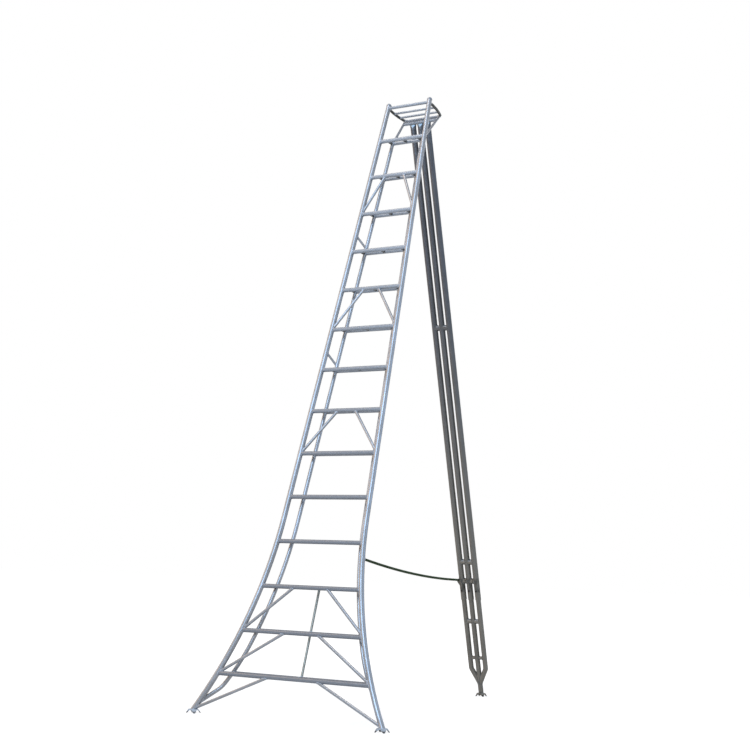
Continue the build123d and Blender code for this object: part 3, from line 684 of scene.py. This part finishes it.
# Leg finishes: painted shade over the whole leg.
leg_tube = aluminium(
    "leg_tube", LEG_CLEAN, LEG_DULL, smooth=0.42, metallic=0.45, way=LEG_WAY, blended_tone=LEG_DUST_AND_LIGHT, pressed_tops_and_streaks=True
)
leg_stub = aluminium(
    "leg_tube_across", LEG_CLEAN, LEG_DULL, smooth=0.22, metallic=0.60,
    way=ACROSS, blended_tone=LEG_DUST_AND_LIGHT, pressed_tops_and_streaks=True, tops=UPPER_SPACERS[:2],
)
lower_leg_tube = aluminium(
    "lower_leg_tube", FOOT_LEG_CLEAN, FOOT_LEG_DULL, smooth=0.42, metallic=0.45, way=LEG_WAY
)
lower_leg_stub = aluminium(
    "lower_leg_tube_across", FOOT_LEG_CLEAN, FOOT_LEG_DULL, smooth=0.22, metallic=0.60,
    way=ACROSS, tops=[LEG_LENGTH - max(LOWER_SPACERS)],
)
foot_plate = aluminium("foot_plate", PLATE_CLEAN, PLATE_DULL, smooth=0.20, metallic=0.70)
cap_grey = moulded_cap()
bolt_black = blackened_steel()
ladder_weld = weld_metal("ladder_weld", LADDER_WELD_BRIGHT, LADDER_WELD_GREY)
leg_weld = weld_metal("leg_weld", LEG_WELD_BRIGHT, LEG_WELD_GREY)
rope_green = rope_yarn("rope_green", ROPE_DEEP, ROPE_WORN, ROPE_DUSTY)

CAD_FINISHES = {
    across_tube: ["top_bar", "hinge_rod", "hinge_barrel", "cradle_bars"]
    + [f"tread_bar_{n:02d}" for n in range(1, TREAD_COUNT + 1)]
    + [f"rear_bar_{n:02d}" for n in range(1, TREAD_COUNT + 1)],
    upright_tube: ["stile_left", "stile_right", "rear_rail_left", "rear_rail_right"],
    rod_tube: ["centre_rods"],
    brace_tube: ["front_braces", "side_struts", "cradle_struts", "rope_eye"],
    foot_plate: ["foot_left", "foot_right"],
    link_tube: ["tread_links"],
    cradle_tube: ["cradle_frame"],
    leg_tube: ["leg_upper_left", "leg_upper_centre", "leg_upper_right", "rope_lug"],
    leg_stub: ["leg_upper_spacers"],
    lower_leg_tube: ["leg_lower_left", "leg_lower_centre", "leg_lower_right", "foot_leg"],
    lower_leg_stub: ["leg_lower_spacers"],
    cap_grey: ["stile_caps"],
    bolt_black: ["lock_bolts"],
}
for finish, names in CAD_FINISHES.items():
    for name in names:
        for place in frame["nodes"][name].material_slots:
            place.material = finish

place_camera()

# Tie rope: three strands laid round the route's line
ROPE_STEPS = 64
STRAND_SIDES = 7
STRAND_RADIUS = ROPE_RADIUS * 0.53
STRAND_OFFSET = ROPE_RADIUS * 1.12 - STRAND_RADIUS


def laid_strands(line):
    """Three strands twisted round a line."""
    around = carried_frames(line)
    shapes = []
    for strand in range(3):
        run = 0.0
        helix = []
        for i, (way, side, up) in enumerate(around):
            run += (line[i] - line[i - 1]).length if i else 0.0
            turn = math.tau * (run / ROPE_LAY + strand / 3)
            helix.append(line[i] + (side * math.cos(turn) + up * math.sin(turn)) * STRAND_OFFSET)
        shapes.append(round_tube(helix, STRAND_RADIUS, STRAND_SIDES))
    return joined(shapes)


def tie_rope():
    line = smooth_line(ROPE_ROUTE, ROPE_STEPS)
    points, faces, uv = laid_strands(line)
    rope = piece("tie_rope", points, faces, rope_green, uv)
    return rope, line


rope, rope_line = tie_rope()

# Stopper knots past the two lugs: one strand woven over and under round a ball, and the rope's tail
KNOT_STRAND = 0.0040
KNOT_STRAND_SIDES = 8
KNOT_STEPS = 240
KNOT_TURNS = 3
KNOT_TILT = 1.02
KNOT_WEAVE = 0.0012
KNOT_TAIL = (-0.0112, -0.0070, 0.0, 0.0080, 0.0150)
KNOT_TAIL_RADIUS = 0.92 * ROPE_RADIUS
KNOT_TAIL_SIDES = 14
eye_hole = face(rail_half(EYE_RISE) + EYE_OFFSET, EYE_RISE, RAIL_BACK)
lug_slot = on_leg(-LUG_SLOT_X, LUG_PLACE, LUG_BACK)


def stopper_knot(name, hole, way, outwards):
    """Knot on the way out of a lug's hole; outwards is square to the lug."""
    middle = hole + way * (LUG_HALF_THICK + KNOT_SEAT + KNOT_RADIUS) / way.dot(outwards)
    side = way.orthogonal().normalized()
    up = way.cross(side)
    line = []
    for i in range(KNOT_STEPS):
        turn = KNOT_TURNS * math.tau * i / KNOT_STEPS
        tilt = KNOT_TILT * math.cos(4 * turn / KNOT_TURNS)
        reach = KNOT_RADIUS - KNOT_STRAND - KNOT_WEAVE + KNOT_WEAVE * math.sin(8 * turn / KNOT_TURNS)
        ring = reach * math.cos(tilt)
        point = middle + side * ring * math.cos(turn) + up * ring * math.sin(turn)
        line.append(point + way * reach * math.sin(tilt))
    weave = round_tube(line, KNOT_STRAND, KNOT_STRAND_SIDES, closed=True)
    tail_line = [middle + way * t for t in KNOT_TAIL]
    tail = round_tube(tail_line, KNOT_TAIL_RADIUS, KNOT_TAIL_SIDES)
    points, faces, uv = joined([weave, tail])
    return piece(name, points, faces, rope_green, uv)


eye_way = (eye_hole - Vector(ROPE_ROUTE[1])).normalized()
lug_way = (lug_slot - Vector(ROPE_ROUTE[-2])).normalized()
ladder_knot = stopper_knot("rope_knot_ladder", eye_hole, eye_way, -BEHIND)
leg_knot = stopper_knot("rope_knot_leg", lug_slot, lug_way, LEG_REAR)

# Weld beads: a bead at every step along each seam
SEAM_STEPS = 48
BEAD_SPACING = 0.0028
BEAD_LENGTH = 0.0022
BEAD_UNEVENNESS = 0.14
BEAD_SEGMENTS = 7
BEAD_RINGS = 4
LADDER_BEAD = 0.0024
UPPER_LEG_BEAD = 0.0028
LOWER_LEG_BEAD = 0.0026


def way_out(start, way, at, along, radius):
    """Distance from a point, along a way, to where it leaves a tube; none where it misses the tube."""
    toward = way - along * way.dot(along)
    off = start - at
    off -= along * off.dot(along)
    a = toward.length_squared
    b = off.dot(toward)
    left = b * b - a * (off.length_squared - radius**2)
    return (-b + math.sqrt(left)) / a if left > 0 else 0.0


def seam(bar_at, bar_way, bar_radius, *tubes):
    """Closed line where the end of a bar meets the sides of one or two tubes."""
    side = bar_way.orthogonal().normalized()
    up = bar_way.cross(side)
    points = []
    for step in range(SEAM_STEPS):
        turn = math.tau * step / SEAM_STEPS
        edge = bar_at + (side * math.cos(turn) + up * math.sin(turn)) * bar_radius
        points.append(edge + bar_way * max(way_out(edge, bar_way, *tube) for tube in tubes))
    return points


def level_seam(bar_at, bar_way, bar_radius, level):
    """Closed line where the foot of a tube stands on its plate."""
    side = bar_way.orthogonal().normalized()
    up = bar_way.cross(side)
    points = []
    for step in range(SEAM_STEPS):
        turn = math.tau * step / SEAM_STEPS
        edge = bar_at + (side * math.cos(turn) + up * math.sin(turn)) * bar_radius
        points.append(edge + bar_way * (level - edge.z) / bar_way.z)
    return points


def both_sides(seams):
    return seams + [other_side(s) for s in seams]


def tread_seams():
    """Front bars to stiles, rear bars to rails, links to both bars."""
    seams = []
    for tread in range(1, TREAD_COUNT + 1):
        rise = tread_rise(tread)
        back = rise + RAIL_STEP
        stile_at = face(half_width(rise), rise)
        rail_at = face(rail_half(back), back, RAIL_BACK)
        front_at = face(0, rise)
        rear_at = face(0, back, RAIL_BACK)
        link_way = (rear_at - front_at).normalized()
        rail = (rail_at, rail_way(back), RAIL_RADIUS)
        front_bar = (front_at, ACROSS, TREAD_RADIUS)
        sides = [
            seam(stile_at, -ACROSS, TREAD_RADIUS, (stile_at, stile_way(rise), STILE_RADIUS)),
            seam(rail_at, -ACROSS, REAR_RADIUS, rail),
            seam(face(rail_half(back), rise), link_way, LINK_RADIUS, front_bar),
            seam(rail_at, -link_way, LINK_RADIUS, rail, (rear_at, ACROSS, REAR_RADIUS)),
        ]
        seams += both_sides(sides)
        seams.append(seam(front_at, link_way, LINK_RADIUS, front_bar))
        seams.append(seam(rear_at, -link_way, LINK_RADIUS, (rear_at, ACROSS, REAR_RADIUS)))
    return seams


def brace_seams():
    """Upper ends on the front bars, lower ends in the corner of stile and next bar."""
    sides = []
    for tread, start in BRACE_STARTS.items():
        below = tread_rise(tread - 1) if tread > 1 else BRACE_FOOT_LIFT
        high = face(start, tread_rise(tread))
        low = face(half_width(below), below)
        way = (low - high).normalized()
        corner = [(low, stile_way(below), STILE_RADIUS)]
        if tread > 1:
            corner.append((low, ACROSS, TREAD_RADIUS))
        sides.append(seam(high, way, BRACE_RADIUS, (high, ACROSS, TREAD_RADIUS)))
        sides.append(seam(low, -way, BRACE_RADIUS, *corner))
    return both_sides(sides)


def strut_seams():
    """Side struts between stiles and rails, and the rods between the lowest rear bars."""
    sides, middle = [], []
    for tread in SIDE_STRUT_TREADS:
        high_rise = tread_rise(tread) + SIDE_STRUT_HIGH
        low_rise = tread_rise(tread) + SIDE_STRUT_LOW
        high = face(half_width(high_rise), high_rise)
        low = face(rail_half(low_rise), low_rise, RAIL_BACK)
        way = (low - high).normalized()
        sides.append(seam(high, way, SIDE_STRUT_RADIUS, (high, stile_way(high_rise), STILE_RADIUS)))
        sides.append(seam(low, -way, SIDE_STRUT_RADIUS, (low, rail_way(low_rise), RAIL_RADIUS)))
    for tread in CENTRE_ROD_TREADS:
        high = face(CENTRE_ROD_X, tread_rise(tread) + RAIL_STEP, RAIL_BACK)
        low = face(CENTRE_ROD_X, tread_rise(tread - 1) + RAIL_STEP, RAIL_BACK)
        middle.append(seam(high, -SLOPE, CENTRE_ROD_RADIUS, (high, ACROSS, REAR_RADIUS)))
        middle.append(seam(low, SLOPE, CENTRE_ROD_RADIUS, (low, ACROSS, REAR_RADIUS)))
    return both_sides(sides) + middle


def cradle_seams():
    """Top bar, bowed cradle sides and their bars, struts and hinge rod."""
    top_rise = rise_along(STILE_LENGTH) - TOP_BAR_DROP
    top_half = half_width(top_rise)
    rearward = Vector((0, math.cos(LEAN - CRADLE_TILT), -math.sin(LEAN - CRADLE_TILT)))

    def on_cradle(x, place):
        return face(0, top_rise) + ACROSS * x + rearward * place

    top_at = on_cradle(top_half, 0)
    bow_at = on_cradle((top_half + CRADLE_REAR_HALF) / 2 + CRADLE_BOW, CRADLE_DEPTH / 2)
    corner = on_cradle(CRADLE_REAR_HALF, CRADLE_DEPTH)
    front_way = (bow_at - top_at).normalized()
    rear_way = (corner - bow_at).normalized()
    stile = (top_at, stile_way(top_rise), STILE_RADIUS)
    sides = [
        seam(top_at, -ACROSS, TOP_BAR_RADIUS, stile),
        seam(top_at, front_way, CRADLE_RADIUS, stile),
    ]
    bow_in = (rear_way - front_way).normalized()
    bow_middle = bow_at + bow_in * CRADLE_BOW_RADIUS / math.cos(front_way.angle(rear_way) / 2)
    for place in CRADLE_BAR_PLACES:
        level = on_cradle(0, place)
        off = (level - bow_middle).dot(rearward)
        x = bow_middle.x + math.sqrt(CRADLE_BOW_RADIUS**2 - off**2)
        bar_at = on_cradle(x, place)
        run_way = (bar_at - bow_middle).cross(ACROSS.cross(rearward)).normalized()
        sides.append(seam(bar_at, -ACROSS, CRADLE_BAR_RADIUS, (bar_at, run_way, CRADLE_RADIUS)))
    inward = (-ACROSS - rear_way).normalized()
    bend_at = corner + inward * CRADLE_BEND_RADIUS * (1 / math.sin(inward.angle(-ACROSS)) - 1)
    strut_rise = tread_rise(TREAD_COUNT) + RAIL_STEP
    strut_low = face(rail_half(strut_rise), strut_rise, RAIL_BACK)
    strut_way = (strut_low - bend_at).normalized()
    rod_at = bend_at + strut_way * (HINGE.z - bend_at.z) / strut_way.z
    sides += [
        seam(bend_at, strut_way, STRUT_RADIUS, (bend_at, (rear_way - ACROSS).normalized(), CRADLE_RADIUS)),
        seam(strut_low, -strut_way, STRUT_RADIUS, (strut_low, rail_way(strut_rise), RAIL_RADIUS)),
        seam(rod_at, -ACROSS, HINGE_ROD_RADIUS, (rod_at, strut_way, STRUT_RADIUS)),
    ]
    return both_sides(sides)


def foot_seams():
    """Rails bent into the stiles, and the stiles on their foot plates."""
    lead = rail_splay_at(RAIL_FLARE_END)
    bend_x = rail_half(RAIL_FLARE_END) + RAIL_LEAD * math.sin(lead)
    bend = face(bend_x, RAIL_FLARE_END - RAIL_LEAD * math.cos(lead), RAIL_BACK)
    rail_foot = face(half_width(RAIL_FOOT), RAIL_FOOT)
    way = (bend - rail_foot).normalized()
    return both_sides([
        seam(rail_foot, way, RAIL_RADIUS, (rail_foot, stile_way(RAIL_FOOT), STILE_RADIUS)),
        level_seam(face(FOOT_HALF, 0), stile_way(0), STILE_RADIUS, FOOT_HEIGHT),
    ])


def rope_eye_lines():
    """Both faces of the rope's eye plate on the right rail, as open lines."""
    edge = math.sqrt(RAIL_RADIUS**2 - LUG_HALF_THICK**2)
    lines = []
    for side in (-LUG_HALF_THICK, LUG_HALF_THICK):
        ends = (EYE_RISE - EYE_SEAM_HALF, EYE_RISE + EYE_SEAM_HALF)
        lines.append([face(rail_half(rise) + edge, rise, RAIL_BACK + side) for rise in ends])
    return lines


def upper_leg_seams():
    """Spacer stubs, pressed tops to the barrel, and the rope lug, as closed and open lines."""
    closed, lines = [], []
    for down in UPPER_SPACERS:
        for at, way in ((on_leg(0, down), ACROSS), (on_leg(LEG_PITCH, down), -ACROSS)):
            closed.append(seam(at, way, SPACER_RADIUS, (at, LEG_WAY, LEG_RADIUS)))
    down, back = BARREL_SEAM
    for x in (-LEG_PITCH, 0, LEG_PITCH):
        for side in (-back, back):
            lines.append([on_leg(x - BARREL_SEAM_HALF, down, side), on_leg(x + BARREL_SEAM_HALF, down, side)])
    for side in (LUG_BACK - LUG_HALF_THICK, LUG_BACK + LUG_HALF_THICK):
        edge = -LEG_PITCH - math.sqrt(LEG_RADIUS**2 - side**2)
        lines.append([on_leg(edge, LUG_PLACE - LUG_HORN, side), on_leg(edge, LUG_PLACE + LUG_DROP, side)])
    return both_sides(closed), lines


def lower_leg_seams():
    """Spacer stubs, the merge of the bent tubes, and the foot plate."""
    closed = []
    for up, radius in LOWER_SPACERS.items():
        for x, way in ((0, ACROSS), (LEG_PITCH, -ACROSS)):
            at = on_leg(x, LEG_LENGTH - up)
            closed.append(seam(at, way, radius, (at, LEG_WAY, LOWER_RADIUS)))
    merge_at = on_leg(0, LEG_LENGTH - LOWER_MERGE)
    bend_way = (on_leg(LEG_PITCH, LEG_LENGTH - LOWER_BEND) - merge_at).normalized()
    closed.append(seam(merge_at, bend_way, LOWER_RADIUS, (merge_at, LEG_WAY, LOWER_RADIUS)))
    return both_sides(closed) + [level_seam(LEG_FOOT, LEG_WAY, LOWER_RADIUS, FOOT_HEIGHT)]


def weld_bead_tree():
    """Beads along seam lines: overlapping flattened drops, each a little different."""
    tree = bpy.data.node_groups.new("weld_beads", "GeometryNodeTree")
    sockets = tree.interface
    sockets.new_socket("Seams", in_out="INPUT", socket_type="NodeSocketGeometry")
    for name, kind, value in (
        ("Bead spacing", "NodeSocketFloat", BEAD_SPACING),
        ("Bead length", "NodeSocketFloat", BEAD_LENGTH),
        ("Bead half width", "NodeSocketFloat", LADDER_BEAD),
        ("Unevenness", "NodeSocketFloat", BEAD_UNEVENNESS),
        ("Seed", "NodeSocketInt", 7),
        ("Weld metal", "NodeSocketMaterial", None),
    ):
        made = sockets.new_socket(name, in_out="INPUT", socket_type=kind)
        if value is not None:
            made.default_value = value
    sockets.new_socket("Beads", in_out="OUTPUT", socket_type="NodeSocketGeometry")
    add, tie = tree.nodes.new, tree.links.new
    given = add("NodeGroupInput").outputs
    steps = add("GeometryNodeResampleCurve")
    steps.mode = "LENGTH"
    tie(given["Seams"], steps.inputs["Curve"])
    tie(given["Bead spacing"], steps.inputs["Length"])
    tangent = add("GeometryNodeInputTangent")
    turn = add("FunctionNodeAlignRotationToVector")
    turn.axis = "X"
    tie(tangent.outputs[0], turn.inputs["Vector"])
    spread = add("FunctionNodeRandomValue")
    spread.data_type = "FLOAT"
    uneven = add("ShaderNodeMath")
    uneven.operation = "SUBTRACT"
    uneven.inputs[0].default_value = 1.0
    tie(given["Unevenness"], uneven.inputs[1])
    more = add("ShaderNodeMath")
    more.operation = "ADD"
    more.inputs[0].default_value = 1.0
    tie(given["Unevenness"], more.inputs[1])
    tie(uneven.outputs[0], spread.inputs[2])
    tie(more.outputs[0], spread.inputs[3])
    tie(given["Seed"], spread.inputs["Seed"])
    size = add("ShaderNodeCombineXYZ")
    tie(given["Bead length"], size.inputs[0])
    tie(given["Bead half width"], size.inputs[1])
    tie(given["Bead half width"], size.inputs[2])
    scaled = add("ShaderNodeVectorMath")
    scaled.operation = "SCALE"
    tie(size.outputs[0], scaled.inputs[0])
    tie(spread.outputs[1], scaled.inputs["Scale"])
    drop = add("GeometryNodeMeshUVSphere")
    drop.inputs["Segments"].default_value = BEAD_SEGMENTS
    drop.inputs["Rings"].default_value = BEAD_RINGS
    place = add("GeometryNodeInstanceOnPoints")
    tie(steps.outputs[0], place.inputs["Points"])
    tie(drop.outputs[0], place.inputs["Instance"])
    tie(turn.outputs[0], place.inputs["Rotation"])
    tie(scaled.outputs[0], place.inputs["Scale"])
    plain = add("GeometryNodeRealizeInstances")
    tie(place.outputs[0], plain.inputs[0])
    smooth = add("GeometryNodeSetShadeSmooth")
    tie(plain.outputs[0], smooth.inputs[0])
    metal = add("GeometryNodeSetMaterial")
    tie(smooth.outputs[0], metal.inputs["Geometry"])
    tie(given["Weld metal"], metal.inputs["Material"])
    tie(metal.outputs[0], add("NodeGroupOutput").inputs[0])
    return tree


def weld_beads(name, tree, metal, half_width_of_bead, closed, lines=(), seed=0):
    """One mesh of beads along closed and open seams."""
    data = bpy.data.curves.new(name, "CURVE")
    data.dimensions = "3D"
    for points, round_it in [(s, True) for s in closed] + [(s, False) for s in lines]:
        spline = data.splines.new("POLY")
        spline.points.add(len(points) - 1)
        for place, point in zip(spline.points, points):
            place.co = (*point, 1)
        spline.use_cyclic_u = round_it
    holder = bpy.data.objects.new(name + "_seams", data)
    bpy.context.scene.collection.objects.link(holder)
    beads = holder.modifiers.new("beads", "NODES")
    beads.node_group = tree
    values = {"Bead half width": half_width_of_bead, "Seed": seed, "Weld metal": metal}
    for socket in tree.interface.items_tree:
        if socket.name in values:
            beads[socket.identifier] = values[socket.name]
    seen = holder.evaluated_get(bpy.context.evaluated_depsgraph_get())
    mesh = bpy.data.meshes.new_from_object(seen)
    holder.modifiers.remove(beads)
    bpy.data.objects.remove(holder)
    bpy.data.curves.remove(data)
    mesh.name = name
    made = bpy.data.objects.new(name, mesh)
    bpy.context.scene.collection.objects.link(made)
    return made


bead_tree = weld_bead_tree()
frame_seams = brace_seams() + strut_seams() + cradle_seams() + foot_seams()
tread_welds = weld_beads("tread_welds", bead_tree, ladder_weld, LADDER_BEAD, tread_seams(), seed=7)
frame_welds = weld_beads(
    "frame_welds", bead_tree, ladder_weld, LADDER_BEAD, frame_seams, rope_eye_lines(), seed=11
)
upper_leg_welds = weld_beads(
    "upper_leg_welds", bead_tree, leg_weld, UPPER_LEG_BEAD, *upper_leg_seams(), seed=13
)
lower_leg_welds = weld_beads(
    "lower_leg_welds", bead_tree, leg_weld, LOWER_LEG_BEAD, lower_leg_seams(), seed=17
)

# Pieces on their bodies
for made, body, slot in (
    (tread_welds, "ladder", "ladder_aluminium"),
    (frame_welds, "ladder", "ladder_aluminium"),
    (upper_leg_welds, "upper_leg", "leg_aluminium"),
    (lower_leg_welds, "lower_leg", "leg_aluminium"),
    (ladder_knot, "ladder", "rope"),
    (leg_knot, "upper_leg", "rope"),
):
    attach(made, body)
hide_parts("rope_stopper")
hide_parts("rope_knot")
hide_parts("rope")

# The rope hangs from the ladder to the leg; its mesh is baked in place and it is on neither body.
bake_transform(rope)


# Pale floor, white surroundings and soft light
AMBIENT = 0.12
FLOOR_RADIUS = 120
FLOOR_SIDES = 96
FLOOR_FADE = (2.0, 5.0)
FLOOR_NEAR_SHARE = 0.80


def seen_directly(tree):
    """One where the camera, a reflection or a see-through piece looks straight at it."""
    rays = tree.nodes.new("ShaderNodeLightPath").outputs
    total = rays["Is Camera Ray"]
    for name in ("Is Glossy Ray", "Is Transmission Ray"):
        node = tree.nodes.new("ShaderNodeMath")
        node.operation = "ADD"
        node.use_clamp = True
        tree.links.new(total, node.inputs[0])
        tree.links.new(rays[name], node.inputs[1])
        total = node.outputs[0]
    return total


def white_surroundings(ambient):
    world = bpy.data.worlds.new("white_studio")
    world.use_nodes = True
    world.cycles.sampling_method = "NONE"
    tree = world.node_tree
    soft = tree.nodes["Background"]
    soft.inputs["Color"].default_value = (1, 1, 1, 1)
    soft.inputs["Strength"].default_value = ambient
    white = tree.nodes.new("ShaderNodeBackground")
    white.inputs["Color"].default_value = (1, 1, 1, 1)
    white.inputs["Strength"].default_value = 1.0
    mix = tree.nodes.new("ShaderNodeMixShader")
    tree.links.new(seen_directly(tree), mix.inputs[0])
    tree.links.new(soft.outputs[0], mix.inputs[1])
    tree.links.new(white.outputs[0], mix.inputs[2])
    tree.links.new(mix.outputs[0], tree.nodes["World Output"].inputs["Surface"])
    bpy.context.scene.world = world


def pale_floor():
    """Round white floor that keeps a faint shadow round the feet and ends in plain white."""
    mesh = bpy.data.meshes.new("floor")
    shell = bmesh.new()
    bmesh.ops.create_circle(shell, cap_ends=True, segments=FLOOR_SIDES, radius=FLOOR_RADIUS)
    shell.to_mesh(mesh)
    shell.free()
    floor = bpy.data.objects.new("floor", mesh)
    bpy.context.scene.collection.objects.link(floor)
    finish = Finish("pale_floor", specular=0.0)
    finish.end(FLOOR_GREY, 0.9)
    finish.material.cycles.emission_sampling = "NONE"
    tree = finish.material.node_tree
    glow = tree.nodes.new("ShaderNodeEmission")
    far = tree.nodes.new("ShaderNodeVectorMath")
    far.operation = "LENGTH"
    tree.links.new(finish.place, far.inputs[0])
    share = finish.between(far.outputs["Value"], *FLOOR_FADE, FLOOR_NEAR_SHARE, 1.0)
    tree.links.new(finish.maths("MULTIPLY", seen_directly(tree), share), glow.inputs["Strength"])
    both = tree.nodes.new("ShaderNodeAddShader")
    tree.links.new(finish.shader.outputs[0], both.inputs[0])
    tree.links.new(glow.outputs[0], both.inputs[1])
    tree.links.new(both.outputs[0], tree.nodes["Material Output"].inputs["Surface"])
    mesh.materials.append(finish.material)


def soft_box(name, at, aim, wide, tall, power, colour):
    data = bpy.data.lights.new(name, "AREA")
    data.shape = "ELLIPSE"
    data.size = wide
    data.size_y = tall
    data.energy = power
    data.color = colour
    lamp = bpy.data.objects.new(name, data)
    lamp.location = at
    lamp.rotation_mode = "QUATERNION"
    lamp.rotation_quaternion = (Vector(aim) - Vector(at)).to_track_quat("-Z", "Y")
    bpy.context.scene.collection.objects.link(lamp)


white_surroundings(AMBIENT)
pale_floor()
soft_box(
    "sky_front", at=(0.6, -8.5, 8.8), aim=(0.6, 0.0, 8.8),
    wide=7.0, tall=13.5, power=1090, colour=(0.46, 0.70, 1.0),
)
soft_box(
    "warm_side", at=(-7.9, -3.8, 7.3), aim=(0, -0.6, 7.3),
    wide=8.0, tall=11.0, power=370, colour=(1.0, 0.64, 0.34),
)
soft_box(
    "cool_side", at=(7.0, 1.2, 4.0), aim=(0, 0, 2.2),
    wide=6.0, tall=7.0, power=110, colour=(0.18, 0.52, 1.0),
)
soft_box(
    "sky_above", at=(-1.2, -2.2, 9.5), aim=(0, 0.3, 2.2),
    wide=3.6, tall=3.6, power=180, colour=(1.0, 0.86, 0.74),
)
soft_box(
    "sky_behind", at=(0.8, 9.5, 6.8), aim=(0, 0, 6.8),
    wide=6.0, tall=11.0, power=350, colour=(0.88, 0.94, 1.0),
)
bpy.context.scene.view_settings.view_transform = "Standard"
